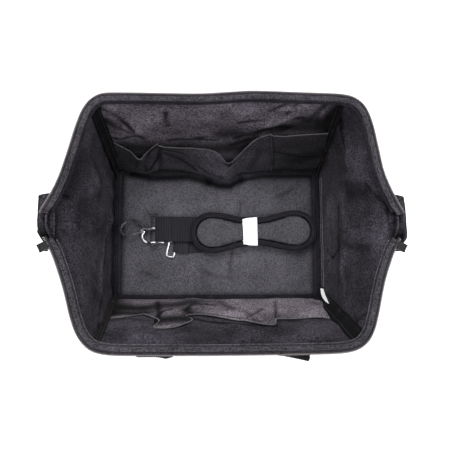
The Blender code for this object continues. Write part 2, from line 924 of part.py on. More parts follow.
def build_strap_webbing():
    bend = ring_wire + gap + webbing_thickness / 2
    top = layer_z(layer_count - 1)
    path = [Vector((first_ring_x + loop_return, 0, top - 2 * bend))]
    path += hairpin(first_ring_x, top - bend, bend, -1)[::-1]
    fold = layer_pitch / 2
    path += hairpin(folded_webbing_end_x, top - fold, fold, 1)
    path += hairpin(folded_webbing_start_x, top - 3 * fold, fold, -1)
    level = top - 4 * fold
    reach = slide_depth / 2 - slide_bar / 2
    for share, rise in slide_weave_shares:
        path.append(Vector((slide_x + share * reach, 0, level + rise * slide_weave)))
    build_slide(slide_x, level)
    place = Matrix.Translation((0, webbing_y, 0))
    ribbon("strap_webbing", path, webbing_width, webbing_thickness, (0, 1, 0), webbing, place)
    ring_axis = Matrix.Translation((first_ring_x, webbing_y, top - bend))
    low = layer_z(0)
    short = [Vector((pad_x, 0, low)), Vector((loop_return, 0, low))]
    short += hairpin(0, low + bend, bend, -1)[::-1]
    short.append(Vector((loop_return, 0, low + 2 * bend)))
    turned = Matrix.Translation((second_ring_x, second_ring_y, 0)) @ Matrix.Rotation(
        second_hook_turn, 4, "Z"
    )
    ribbon("strap_tail", short, webbing_width, webbing_thickness, (0, 1, 0), webbing, turned)
    second_axis = turned @ Matrix.Translation((0, 0, low + bend))
    return ring_axis, second_axis


def build_slide(x, level):
    """The adjuster: a flat frame with a centre bar that the webbing weaves over."""
    outline = rounded_rectangle(slide_depth, slide_length, slide_bar, 3)
    frame = prism("slide_body", outline, -slide_thickness / 2, slide_thickness / 2)
    inner = slide_length / 2 - slide_bar
    for number, sign in enumerate((-1, 1)):
        low, high = sorted((sign * slide_bar / 2, sign * (slide_depth / 2 - slide_bar)))
        slot = block(
            "slide_slot_" + str(number),
            (low, -inner, -slide_thickness),
            (high, inner, slide_thickness),
        )
        boolean(frame, slot, "DIFFERENCE")
    settle("adjuster_slide", frame, Matrix.Translation((x, webbing_y, level)), dark_metal)


def build_ring(name, where, metal):
    """A rectangular ring for the webbing, with the hub for the hook's stud on its far bar."""
    outline = rounded_rectangle(ring_depth, ring_length, ring_corner_radius, 2)
    points = [(x - ring_depth / 2, y, 0) for x, y in outline]
    ring = as_mesh(wire(name + "_bar", points, ring_wire, metal, closed=True))
    hub = rod(
        name + "_hub",
        (-ring_depth - hub_length / 2, 0, 0),
        (-ring_depth + hub_length / 2, 0, 0),
        hub_radius,
    )
    bore = rod(
        name + "_bore",
        (-ring_depth - hub_length, 0, 0),
        (-ring_depth + hub_length, 0, 0),
        (stud_radius + running_clearance) / math.cos(math.pi / 12),
    )
    boolean(ring, hub, "UNION")
    boolean(ring, bore, "DIFFERENCE")
    settle(name, ring, where, metal)
    bpy.data.objects.remove(ring)


def hook_bow():
    """The hook's middle line, from its collar round the bow to the nose."""
    half = hook_width / 2 - hook_wire
    end = -ring_depth - hub_length / 2 - running_clearance
    reach = end - hook_length + hub_length + hook_wire
    neck = end - collar_length
    long = neck - reach
    shares = (
        (0.00, 0.10),
        (0.08, 0.52),
        (0.20, 0.84),
        (0.38, 1.00),
        (0.58, 0.98),
        (0.76, 0.80),
        (0.90, 0.46),
        (0.97, 0.00),
        (0.93, -0.42),
        (0.82, -0.74),
        (0.68, -0.90),
    )
    return [(neck - x * long, y * half, 0) for x, y in shares], end, neck


def build_hook(number, where, metal):
    points, end, neck = hook_bow()
    name = number + "_snap_hook"
    hook = as_mesh(wire(name + "_bow", points, hook_wire, metal))
    collar = rod(name + "_collar", (end, 0, 0), (neck - hook_wire, 0, 0), collar_radius)
    inside = -ring_depth + hub_length / 2 + running_clearance
    stud = rod(name + "_stud", (neck, 0, 0), (inside + stud_head_length / 2, 0, 0), stud_radius)
    head = rod(name + "_head", (inside, 0, 0), (inside + stud_head_length, 0, 0), stud_head_radius)
    root = Vector((neck - hook_wire - gate_radius, -collar_radius - gate_radius, 0))
    inside_ear = gate_radius + running_clearance
    over = gate_pin_radius * 2
    ears = [
        block(
            name + "_ear_" + str(number_of_ear),
            (root.x - over, root.y - over, min(z, z + sign * gate_ear_thickness)),
            (neck, -gate_pin_radius, max(z, z + sign * gate_ear_thickness)),
        )
        for number_of_ear, (z, sign) in enumerate(((-inside_ear, -1), (inside_ear, 1)))
    ]
    pin_end = Vector((0, 0, inside_ear + gate_ear_thickness / 2))
    pin = rod(name + "_gate_pin", root - pin_end, root + pin_end, gate_pin_radius, 8)
    for other in (collar, stud, head, *ears, pin):
        boolean(hook, other, "UNION")
    settle(name, hook, where, metal)
    bpy.data.objects.remove(hook)
    nose = Vector(points[-1])
    along = (nose - root).normalized()
    stop = nose - along * (hook_wire + gate_clearance)
    gate = rod(name + "_gate_body", root, stop, gate_radius, 10)
    half = Vector((0, 0, gate_radius))
    barrel = rod(name + "_gate_barrel", root - half, root + half, gate_radius)
    bore = rod(name + "_gate_bore", root - 2 * half, root + 2 * half, gate_pin_radius + running_clearance)
    boolean(gate, barrel, "UNION")
    boolean(gate, bore, "DIFFERENCE")
    settle(number + "_hook_gate", gate, where, metal)
    return where @ root


def build_strap():
    build_pad()
    first_axis, second_axis = build_strap_webbing()
    first_axis = first_axis @ Matrix.Rotation(first_hook_pitch, 4, "Y")
    for number, where, metal in (("first", first_axis, dark_metal), ("second", second_axis, steel)):
        build_ring(number + "_strap_ring", where, metal)
        pivot = build_hook(number, where, metal)
        print(number, "ring axis", tuple(round(v, 5) for v in where.translation))
        print(number, "gate pivot", tuple(round(v, 5) for v in pivot))


def build_tool_bag():
    clear_scene()
    build_base()
    build_walls()
    build_corner_tapes()
    build_mouth()
    build_end_tabs()
    build_pockets()
    build_label()
    build_handles()
    build_d_rings()
    build_sliders()
    build_strap()


build_tool_bag()
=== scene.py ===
"""Black open-mouth tool bag seen from above, with its shoulder strap lying inside it."""

import math

import bmesh
import bpy
import numpy as np
from mathutils import Matrix, Vector, noise


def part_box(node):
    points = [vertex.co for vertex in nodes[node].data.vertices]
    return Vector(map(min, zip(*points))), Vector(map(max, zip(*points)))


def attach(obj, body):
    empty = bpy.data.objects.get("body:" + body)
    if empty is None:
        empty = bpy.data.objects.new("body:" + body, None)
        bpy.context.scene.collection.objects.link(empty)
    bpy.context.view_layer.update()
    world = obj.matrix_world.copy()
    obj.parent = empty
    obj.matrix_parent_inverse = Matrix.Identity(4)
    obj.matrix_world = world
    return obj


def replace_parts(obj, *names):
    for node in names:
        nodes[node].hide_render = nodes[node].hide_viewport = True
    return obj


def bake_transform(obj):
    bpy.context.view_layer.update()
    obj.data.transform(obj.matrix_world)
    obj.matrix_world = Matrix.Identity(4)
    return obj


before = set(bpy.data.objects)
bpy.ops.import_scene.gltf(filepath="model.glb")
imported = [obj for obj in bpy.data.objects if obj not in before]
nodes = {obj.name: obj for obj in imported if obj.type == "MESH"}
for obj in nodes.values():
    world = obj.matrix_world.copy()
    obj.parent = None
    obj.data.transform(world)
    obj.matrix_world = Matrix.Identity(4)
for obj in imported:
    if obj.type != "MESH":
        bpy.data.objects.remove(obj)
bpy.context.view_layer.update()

# CAMERA AND STUDIO
# The camera looks almost straight down into the open mouth, a little from the front and left.
# The floor and the world are white to the camera, and soft boxes hang over the bag.
camera_data = bpy.data.cameras.new("overhead_camera")
camera_data.lens = 34.9
camera_data.sensor_width = 36
camera_data.clip_start = 0.02
camera = bpy.data.objects.new("overhead_camera", camera_data)
camera.location = (-0.0374, -0.0601, 0.8796)
camera.rotation_euler = (0.0887, -0.0579, -0.0019)
bpy.context.scene.collection.objects.link(camera)
bpy.context.scene.camera = camera
bpy.context.scene.view_settings.view_transform = "Standard"


def link_nodes(tree, source, output, target, socket):
    tree.links.new(source.outputs[output], target.inputs[socket])


def combine(tree, operation, first, second):
    """A maths node on two values, each a number or a pair of a node and the name of its output."""
    made = tree.nodes.new("ShaderNodeMath")
    made.operation = operation
    for socket, value in enumerate((first, second)):
        if isinstance(value, tuple):
            link_nodes(tree, value[0], value[1], made, socket)
        else:
            made.inputs[socket].default_value = value
    return (made, 0)


gloss_share = 0.8


def studio_white(tree, strength):
    """Plain white for camera and glass rays, and a part of it for gloss, so that metal shows it."""
    path = tree.nodes.new("ShaderNodeLightPath")
    seen = combine(tree, "MAXIMUM", (path, "Is Camera Ray"), (path, "Is Transmission Ray"))
    plain = combine(tree, "MULTIPLY", seen, strength)
    gloss = combine(tree, "MULTIPLY", (path, "Is Glossy Ray"), gloss_share * strength)
    return combine(tree, "MAXIMUM", plain, gloss)


floor_mesh = bpy.data.meshes.new("studio_floor")
floor_mesh.from_pydata([(-4, -4, 0), (4, -4, 0), (4, 4, 0), (-4, 4, 0)], [], [(0, 1, 2, 3)])
studio_floor = bpy.data.objects.new("studio_floor", floor_mesh)
bpy.context.scene.collection.objects.link(studio_floor)
paint = bpy.data.materials.new("studio_floor_paint")
paint.use_nodes = True
shader = paint.node_tree.nodes["Principled BSDF"]
shader.inputs["Base Color"].default_value = (0.82, 0.82, 0.82, 1)
shader.inputs["Roughness"].default_value = 0.9
shader.inputs["Specular IOR Level"].default_value = 0.1
shader.inputs["Emission Color"].default_value = (1, 1, 1, 1)
link_nodes(paint.node_tree, *studio_white(paint.node_tree, 0.62), shader, "Emission Strength")
floor_mesh.materials.append(paint)

world = bpy.data.worlds.new("studio_world")
bpy.context.scene.world = world
world.use_nodes = True
background = world.node_tree.nodes["Background"]
background.inputs["Color"].default_value = (1, 1, 1, 1)
world_lift = 0.18
lift = combine(world.node_tree, "MAXIMUM", studio_white(world.node_tree, 1.0), world_lift)
link_nodes(world.node_tree, *lift, background, "Strength")

for number, (place, size, power) in enumerate(
    (
        ((-0.22, 0.52, 1.50), 0.8, 25.0),
        ((-0.62, -0.50, 1.45), 0.7, 8.5),
        ((0.70, -0.25, 1.40), 0.7, 11.0),
    )
):
    lamp_data = bpy.data.lights.new("soft_box_" + str(number), "AREA")
    lamp_data.size = size
    lamp_data.energy = power
    lamp = bpy.data.objects.new("soft_box_" + str(number), lamp_data)
    aim = Vector((0, 0, 0.1)) - Vector(place)
    lamp.matrix_world = Matrix.Translation(place) @ aim.to_track_quat("-Z", "Y").to_matrix().to_4x4()
    bpy.context.scene.collection.objects.link(lamp)


# BASE PANEL AND FEET
# The underside is a stiff board in black cloth, with its edges rounded a little.
# Four rubber feet stand under it, and keep the solids' own shape.
def lengths(path):
    """How far each point lies along the path."""
    run = [0.0]
    for a, b in zip(path, path[1:]):
        run.append(run[-1] + (b - a).length)
    return run


def even(path, count):
    """The path again, cut into the given count of equal steps."""
    run = lengths(path)
    made, at = [], 0
    for k in range(count + 1):
        want = run[-1] * k / count
        while at < len(run) - 2 and run[at + 1] < want:
            at += 1
        step = run[at + 1] - run[at]
        made.append(path[at].lerp(path[at + 1], (want - run[at]) / step if step else 0))
    return made


def stepped_path(points, spacing, closed=False):
    """Even points along a soft curve through the given ones."""
    points = [Vector(p) for p in points]
    count = len(points)
    fine = []
    for i in range(count if closed else count - 1):
        if closed:
            a, b, c, d = (points[(i + k) % count] for k in (-1, 0, 1, 2))
        else:
            a, b, c, d = (points[min(max(i + k, 0), count - 1)] for k in (-1, 0, 1, 2))
        gap = (c - b).length
        leave, reach = (c - a) / 2, (d - b) / 2
        leave = leave * min(1, gap / max(leave.length, 1e-9))
        reach = reach * min(1, gap / max(reach.length, 1e-9))
        for k in range(10):
            t = k / 10
            near, far = 2 * t**3 - 3 * t**2 + 1, 3 * t**2 - 2 * t**3
            fine.append(b * near + leave * (t**3 - 2 * t**2 + t) + c * far + reach * (t**3 - t**2))
    fine.append(points[0].copy() if closed else points[-1].copy())
    made = even(fine, max(2, round(lengths(fine)[-1] / spacing)))
    return made[:-1] if closed else made


def rounded_outline(length, depth, radius, z):
    made, steps = [], 6
    for quarter, (sx, sy) in enumerate(((1, 1), (-1, 1), (-1, -1), (1, -1))):
        for k in range(steps + 1):
            angle = math.pi / 2 * (quarter + k / steps)
            x = sx * (length / 2 - radius) + radius * math.cos(angle)
            y = sy * (depth / 2 - radius) + radius * math.sin(angle)
            made.append(Vector((x, y, z)))
    return made


def lay_mesh(name, verts, faces, sharp=50):
    data = bpy.data.meshes.new(name)
    data.from_pydata([tuple(v) for v in verts], [], faces)
    shape = bmesh.new()
    shape.from_mesh(data)
    bmesh.ops.recalc_face_normals(shape, faces=shape.faces)
    shape.to_mesh(data)
    shape.free()
    data.shade_smooth()
    data.set_sharp_from_angle(angle=math.radians(sharp))
    piece = bpy.data.objects.new(name, data)
    bpy.context.scene.collection.objects.link(piece)
    return piece


def net(name, rows, wrap=False, caps=False, sharp=50):
    """A mesh through rows of points. Wrap joins each row's ends, caps closes both end rows."""
    across = len(rows[0])
    verts = [p for row in rows for p in row]
    faces = []
    for r in range(len(rows) - 1):
        for c in range(across if wrap else across - 1):
            here, there = r * across + c, r * across + (c + 1) % across
            faces.append((here, there, there + across, here + across))
    if caps:
        faces.append(tuple(range(across))[::-1])
        faces.append(tuple(range((len(rows) - 1) * across, len(rows) * across)))
    return lay_mesh(name, verts, faces, sharp)


def settle_shape(piece):
    """Takes the piece's modifiers into its mesh."""
    graph = bpy.context.evaluated_depsgraph_get()
    data = bpy.data.meshes.new_from_object(piece.evaluated_get(graph))
    piece.modifiers.clear()
    piece.data = data
    return piece


def thicken(piece, thickness, levels):
    """Cloth thickness to both sides of the sheet, softened."""
    shell = piece.modifiers.new("Cloth", "SOLIDIFY")
    shell.thickness = thickness
    shell.offset = 0
    if levels:
        soft = piece.modifiers.new("Soft", "SUBSURF")
        soft.levels = soft.render_levels = levels
    return settle_shape(piece)


def tube(name, path, outline_at, hold=(0, 0, 1), closed=False):
    """Carries a closed outline along a path. The outline's second axis is held towards hold."""
    hold = Vector(hold).normalized()
    count, rows = len(path), []
    for i, point in enumerate(path):
        after = path[(i + 1) % count] if closed or i < count - 1 else path[i]
        before = path[i - 1] if closed or i > 0 else path[i]
        along = (after - before).normalized()
        side = along.cross(hold)
        side = side.normalized() if side.length > 0.01 else Vector((1, 0, 0))
        up = side.cross(along).normalized()
        rows.append([point + side * a + up * b for a, b in outline_at(i)])
    if closed:
        rows.append(rows[0])
    piece = net(name, rows, wrap=True, caps=not closed)
    if closed:
        shape = bmesh.new()
        shape.from_mesh(piece.data)
        bmesh.ops.remove_doubles(shape, verts=shape.verts, dist=1e-6)
        bmesh.ops.recalc_face_normals(shape, faces=shape.faces)
        shape.to_mesh(piece.data)
        shape.free()
    return piece


def oval(width, height, sides=8, power=1.0):
    made = []
    for k in range(sides):
        angle = math.tau * (k + 0.5) / sides
        a, b = math.cos(angle), math.sin(angle)
        made.append(
            (
                width / 2 * math.copysign(abs(a) ** power, a),
                height / 2 * math.copysign(abs(b) ** power, b),
            )
        )
    return made


def shaded(name, roughness, specular, metallic=0.0, sheen=0.0):
    made = bpy.data.materials.new(name)
    made.use_nodes = True
    body = made.node_tree.nodes["Principled BSDF"]
    body.inputs["Roughness"].default_value = roughness
    body.inputs["Specular IOR Level"].default_value = specular
    body.inputs["Metallic"].default_value = metallic
    body.inputs["Sheen Weight"].default_value = sheen
    body.inputs["Sheen Roughness"].default_value = 0.45
    return made, body


def add_node(made, kind, **values):
    node = made.node_tree.nodes.new("ShaderNode" + kind)
    for key, value in values.items():
        if key in node.inputs:
            node.inputs[key].default_value = value
        else:
            setattr(node, key, value)
    return node


def placed(made, place, kind, **values):
    """A texture node laid on the object's own coordinates."""
    node = add_node(made, kind, **values)
    link_nodes(made.node_tree, place, "Object", node, "Vector")
    return node


def ramp(made, source, dark, light, low=0.0, high=1.0):
    """Colours between dark and light for a value, which is a node and the name of its output."""
    tones = add_node(made, "ValToRGB")
    for element, colour, position in zip(tones.color_ramp.elements, (dark, light), (low, high)):
        element.color = (*colour, 1)
        element.position = position
    link_nodes(made.node_tree, *source, tones, "Fac")
    return tones


def relief(made, source, strength, distance, target, below=None):
    """Relief from a value, on top of the bump node below, for the target's Normal."""
    rise = add_node(made, "Bump", Strength=strength, Distance=distance)
    link_nodes(made.node_tree, *source, rise, "Height")
    if below:
        link_nodes(made.node_tree, below, "Normal", rise, "Normal")
    if target:
        link_nodes(made.node_tree, rise, "Normal", target, "Normal")
    return rise


def span(made, source, low, high):
    """Spreads a value over a range."""
    node = add_node(made, "MapRange")
    node.inputs["To Min"].default_value = low
    node.inputs["To Max"].default_value = high
    link_nodes(made.node_tree, *source, node, "Value")
    return node


def weave_height(made, thread, place):
    """Height of a plain weave with threads of one width, on faces that point any way."""
    tree, scale = made.node_tree, math.tau / (20 * 2 * thread)
    waves = []
    for axis in "XYZ":
        wave = placed(made, place, "TexWave", bands_direction=axis, Scale=scale, Distortion=0.4)
        wave.inputs["Detail Scale"].default_value = scale / 4
        waves.append((wave, "Fac"))
    flat = combine(tree, "MULTIPLY", waves[0], waves[1])
    upright = combine(tree, "MULTIPLY", waves[2], combine(tree, "ADD", waves[0], waves[1]))
    return combine(tree, "ADD", flat, upright)


# Near black that the cloth is painted towards where it lies in shade.
painted_shade_colour = (0.0013, 0.0012, 0.0016, 1)


def woven_cloth(name, dark, light, thread=0.0008, speckle=0.6, drift=0.1):
    """Plain-woven polyester: speckled threads, soft worn patches and painted shade in creases and
    recesses.
    """
    made, body = shaded(name, 0.85, 0.025, sheen=0.03)
    tree = made.node_tree
    place = add_node(made, "TexCoord")
    patch = placed(made, place, "TexNoise", Scale=22.0, Detail=5.0, Roughness=0.6)
    cells = placed(made, place, "TexVoronoi", Scale=0.56 / thread)
    single = add_node(made, "SeparateColor")
    link_nodes(tree, cells, "Color", single, "Color")
    blend = add_node(made, "Mix", data_type="FLOAT")
    blend.inputs["Factor"].default_value = speckle
    link_nodes(tree, patch, "Fac", blend, "A")
    link_nodes(tree, single, "Red", blend, "B")
    tint = add_node(made, "HueSaturation", Saturation=1.0)
    link_nodes(tree, ramp(made, (blend, 0), dark, light, 0.22, 0.80), "Color", tint, "Color")
    link_nodes(tree, span(made, (single, "Green"), 0.465, 0.555), "Result", tint, "Hue")
    cloud = placed(made, place, "TexNoise", Scale=11.0, Detail=3.0, Roughness=0.5)
    worn = span(made, (cloud, "Fac"), 1 - drift, 1 + drift)
    worn.inputs["From Min"].default_value = 0.34
    worn.inputs["From Max"].default_value = 0.66
    link_nodes(tree, worn, "Result", tint, "Value")
    # The "crease" attribute holds painted shade: the colour goes towards near black along the painted
    # shade marks.
    crease = add_node(made, "Attribute", attribute_name="crease")
    depth = add_node(made, "Mix", data_type="RGBA")
    link_nodes(tree, crease, "Fac", depth, "Factor")
    link_nodes(tree, tint, "Color", depth, 6)
    depth.inputs[7].default_value = painted_shade_colour
    link_nodes(tree, depth, 2, body, "Base Color")
    fine = relief(made, weave_height(made, thread, place), 0.2, thread / 3, None)
    slack = placed(made, place, "TexNoise", Scale=55.0, Detail=6.0, Roughness=0.6)
    relief(made, (slack, "Fac"), 0.35, 0.002, body, below=fine)
    return made


def paint_shade_marks(piece, shade_marks):
    """Paints shade on the cloth along lines, into its "crease" attribute. A mark is its points, its
    width and how dark it is.
    """
    count = len(piece.data.vertices)
    flat = np.empty(count * 3)
    piece.data.vertices.foreach_get("co", flat)
    places = flat.reshape(-1, 3)
    light = np.ones(count)
    for points, width, dark in shade_marks:
        nearest = np.full(count, 1e9)
        for a, b in zip(points, points[1:]):
            a, b = np.array(a), np.array(b)
            run = b - a
            share = np.clip(((places - a) @ run) / max(run @ run, 1e-12), 0, 1)
            away = places - (a + share[:, None] * run)
            nearest = np.minimum(nearest, np.sqrt((away * away).sum(axis=1)))
        light *= 1 - dark * np.exp(-((nearest / width) ** 2))
    values = piece.data.attributes.new("crease", "FLOAT", "POINT")
    values.data.foreach_set("value", (1 - light**1.6).astype(np.float32))
    return piece


def give(piece, made):
    piece.data.materials.clear()
    piece.data.materials.append(made)
    return piece


outer_cloth = woven_cloth(
    "outer_polyester", (0.011, 0.0105, 0.0130), (0.034, 0.0325, 0.0390), 0.0007, 0.4, 0.15
)
base_low, base_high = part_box("base_panel")
base_length, base_depth, base_radius = 0.420, 0.265, 0.014
rows = []
for inset, z in (
    (0.020, base_low.z + 0.0002),
    (0.004, base_low.z),
    (0.0012, base_low.z + 0.0004),
    (0.0, base_low.z + 0.0012),
    (0.0, base_high.z - 0.0010),
    (0.0012, base_high.z - 0.0002),
    (0.006, base_high.z),
    (0.020, base_high.z),
):
    radius = max(0.002, base_radius - inset)
    rows.append(rounded_outline(base_length - 2 * inset, base_depth - 2 * inset, radius, z))
base_piece = give(net("base_cover", rows, wrap=True, caps=True), outer_cloth)
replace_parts(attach(base_piece, "bag_body"), "base_panel")

foot_rubber, body = shaded("foot_rubber", 0.62, 0.4)
place = add_node(foot_rubber, "TexCoord")
dust = placed(foot_rubber, place, "TexNoise", Scale=180.0, Detail=5.0, Roughness=0.7)
tones = ramp(foot_rubber, (dust, "Fac"), (0.010, 0.010, 0.010), (0.030, 0.029, 0.028))
link_nodes(foot_rubber.node_tree, tones, "Color", body, "Base Color")
relief(foot_rubber, (dust, "Fac"), 0.2, 0.0003, body)
for corner in ("front_left", "front_right", "rear_left", "rear_right"):
    give(nodes[corner + "_foot"], foot_rubber)

# FLOOR BOARD
# A loose stiffener in charcoal lining cloth lies on the base and carries the strap.
# Its cover is slightly slack, with a turned edge that dips at the rim.
lining_cloth = woven_cloth(
    "charcoal_lining", (0.036, 0.0355, 0.041), (0.098, 0.0955, 0.109), 0.0008, 0.6, 0.12
)
board_low, board_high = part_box("floor_board")
board_length, board_depth = board_high.x - board_low.x, board_high.y - board_low.y
rows = []
columns, lines = 96, 64
for r in range(lines + 1):
    row = []
    for c in range(columns + 1):
        x = board_length * (c / columns - 0.5)
        y = board_depth * (r / lines - 0.5)
        rim = min(board_length / 2 - abs(x), board_depth / 2 - abs(y))
        slack = noise.noise(Vector((x * 9, y * 9, 3.1))) * 0.5
        slack += noise.noise(Vector((x * 31, y * 31, 8.2))) * 0.25
        z = board_high.z - 0.0022 * math.exp(-((rim / 0.004) ** 2))
        z = z + 0.0007 * slack * min(1, rim / 0.02) - 0.0005
        row.append(Vector((x * 0.9985, y * 0.9985, z)))
    rows.append(row)
board_piece = net("floor_board_cover", rows)
board_piece.modifiers.new("Board", "SOLIDIFY").thickness = board_high.z - board_low.z - 0.0012
board_piece.modifiers["Board"].offset = -1
give(settle_shape(board_piece), lining_cloth)
side_x, side_y, top_z = board_length / 2, board_depth / 2, board_high.z
board_shade = [
    ([(-side_x, side_y, top_z), (side_x, side_y, top_z)], 0.0160, 0.50),
    ([(side_x, side_y, top_z), (side_x, -side_y, top_z)], 0.0070, 0.45),
    ([(side_x, -side_y, top_z), (-side_x, -side_y, top_z)], 0.0070, 0.55),
    ([(-side_x, -side_y, top_z), (-side_x, side_y, top_z)], 0.0080, 0.45),
    (
        [(-0.175, 0.118, top_z), (-0.137, 0.110, top_z), (-0.060, 0.113, top_z), (-0.020, 0.103, top_z)],
        0.0070,
        0.80,
    ),
    (
        [(-0.020, 0.103, top_z), (0.000, 0.096, top_z), (0.022, 0.095, top_z), (0.046, 0.108, top_z)],
        0.0075,
        0.85,
    ),
    ([(0.046, 0.108, top_z), (0.090, 0.116, top_z), (0.190, 0.118, top_z)], 0.0050, 0.70),
    ([(0.040, 0.034, top_z), (0.046, 0.052, top_z), (0.044, 0.066, top_z)], 0.0030, 0.30),
    ([(0.028, -0.036, top_z), (0.022, -0.062, top_z), (0.024, -0.078, top_z)], 0.0040, 0.32),
    ([(-0.040, -0.070, top_z), (-0.010, -0.084, top_z), (0.030, -0.088, top_z)], 0.0040, 0.22),
    ([(-0.150, -0.075, top_z), (-0.120, -0.088, top_z)], 0.0040, 0.25),
    ([(0.120, 0.075, top_z), (0.150, 0.090, top_z)], 0.0040, 0.25),
]
paint_shade_marks(board_piece, board_shade)
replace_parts(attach(board_piece, "bag_body"), "floor_board")

# FLOOR BINDING
# Black tape bound over the raw seam where walls and base meet, sewn round by machine.
# It bunches where it turns the four corners.
binding_tape = woven_cloth(
    "binding_tape", (0.0055, 0.0052, 0.0068), (0.022, 0.0205, 0.0255), 0.0006, 0.6
)
thread, body = shaded("black_thread", 0.55, 0.4, sheen=0.2)
place = add_node(thread, "TexCoord")
twist = placed(thread, place, "TexWave", bands_direction="DIAGONAL", Scale=400.0)
tones = ramp(thread, (twist, "Fac"), (0.020, 0.019, 0.022), (0.055, 0.053, 0.058))
link_nodes(thread.node_tree, tones, "Color", body, "Base Color")


def bar_faces(start, rings):
    """Faces of a closed four-sided bar, whose rings of four points begin at vertex start."""
    made = []
    for i in range(start, start + 4 * (rings - 1), 4):
        for j in range(4):
            made.append((i + j, i + (j + 1) % 4, i + 4 + (j + 1) % 4, i + 4 + j))
    last = start + 4 * (rings - 1)
    return made + [(start + 3, start + 2, start + 1, start), (last, last + 1, last + 2, last + 3)]


def stitches(name, path, pitch, length, radius, up=(0, 0, 1)):
    """A row of short thread loops lying on a path."""
    points = stepped_path(path, pitch)
    verts, faces = [], []
    for a, b in zip(points, points[1:]):
        along = (b - a).normalized()
        side = along.cross(Vector(up))
        side = side.normalized() if side.length > 0.01 else Vector((1, 0, 0))
        rise = side.cross(along).normalized()
        middle = a.lerp(b, 0.5)
        faces += bar_faces(len(verts), 4)
        for share, thick in ((-0.5, 0.35), (-0.3, 1.0), (0.3, 1.0), (0.5, 0.35)):
            centre = middle + along * (length * share)
            for s, t in ((1, 0), (0, 1), (-1, 0), (0, -1)):
                verts.append(centre + side * (s * radius * thick) + rise * (t * radius * thick))
    return give(lay_mesh(name, verts, faces), thread)


binding_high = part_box("floor_binding")[1].z
binding_length, binding_depth, binding_radius = 0.4035, 0.2520, 0.010
binding_line = rounded_outline(binding_length, binding_depth, binding_radius, binding_high - 0.0004)
path = stepped_path(binding_line, 0.004, closed=True)
bunch = []
for i, point in enumerate(path):
    corner = min(1, max(0, (abs(point.x) - 0.170) / 0.025))
    corner *= min(1, max(0, (abs(point.y) - 0.100) / 0.022))
    swell = 0.0055 * corner * abs(noise.noise(point * 90))
    bunch.append(0.0010 + swell + 0.0018 * noise.noise(point * 38))
binding_piece = tube(
    "floor_binding_tape",
    [Vector((p.x * (1 - 3.2 * b), p.y * (1 - 4.6 * b), p.z + b / 2)) for p, b in zip(path, bunch)],
    lambda i: oval(0.0078 + bunch[i], 0.0030 + bunch[i], 10, 0.7),
    closed=True,
)
give(binding_piece, binding_tape)
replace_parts(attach(binding_piece, "bag_body"), "floor_binding")
for number, inset in enumerate((0.0016, -0.0018)):
    size = (binding_length - 2 * inset, binding_depth - 2 * inset, binding_radius)
    row = rounded_outline(*size, binding_high + 0.0016)
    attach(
        stitches("floor_binding_stitches_" + str(number), row + row[:1], 0.0036, 0.0026, 0.00028),
        "bag_body",
    )

# MOUTH LINE
# The outer edge of the open mouth, half for each wire frame, as the photograph shows it.
# The two halves meet at the soft tips, and everything sewn to the mouth follows them.
front_edge = [
    (-0.2590, -0.0012), (-0.2575, -0.0140), (-0.2497, -0.0285), (-0.2405, -0.0465), (-0.2325, -0.0670),
    (-0.2260, -0.0860), (-0.2205, -0.1046), (-0.2135, -0.1313), (-0.2050, -0.1540), (-0.1935, -0.1700),
    (-0.1790, -0.1795), (-0.1560, -0.1838), (-0.1000, -0.1852), (0.0000, -0.1862), (0.0700, -0.1862),
    (0.1400, -0.1858), (0.1700, -0.1840), (0.1880, -0.1785), (0.2010, -0.1675), (0.2095, -0.1520),
    (0.2160, -0.1296), (0.2210, -0.1073), (0.2265, -0.0850), (0.2325, -0.0670), (0.2405, -0.0465),
    (0.2497, -0.0285), (0.2575, -0.0140), (0.2590, -0.0012),
]
rear_edge = [
    (-0.2590, 0.0012), (-0.2575, 0.0140), (-0.2497, 0.0285), (-0.2410, 0.0455), (-0.2335, 0.0640),
    (-0.2270, 0.0850), (-0.2205, 0.1080), (-0.2130, 0.1350), (-0.2040, 0.1590), (-0.1920, 0.1745),
    (-0.1760, 0.1825), (-0.1450, 0.1840), (-0.1050, 0.1842), (-0.0376, 0.1848), (0.0050, 0.1880),
    (0.0400, 0.1905), (0.1139, 0.1895), (0.1650, 0.1885), (0.1860, 0.1850), (0.2010, 0.1755),
    (0.2100, 0.1615), (0.2170, 0.1400), (0.2235, 0.1075), (0.2300, 0.0750), (0.2385, 0.0520),
    (0.2497, 0.0285), (0.2575, 0.0140), (0.2590, 0.0012),
]
mouth_z = (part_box("front_hem")[0].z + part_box("front_hem")[1].z) / 2
zip_reach = 0.0035
hem_width = 0.0108


def drawn_in(path, inset, rise=0.0):
    """The same path moved towards the middle of the bag."""
    made = []
    for i, point in enumerate(path):
        a, b = path[max(0, i - 1)], path[min(len(path) - 1, i + 1)]
        along = (b - a).normalized()
        inward = Vector((-along.y, along.x, 0))
        if inward.dot(point) > 0:
            inward = -inward
        made.append(point + inward * inset + Vector((0, 0, rise)))
    return made


mouth = {
    "front": stepped_path([(x, y, mouth_z) for x, y in front_edge], 0.005),
    "rear": stepped_path([(x, y, mouth_z) for x, y in rear_edge], 0.005),
}

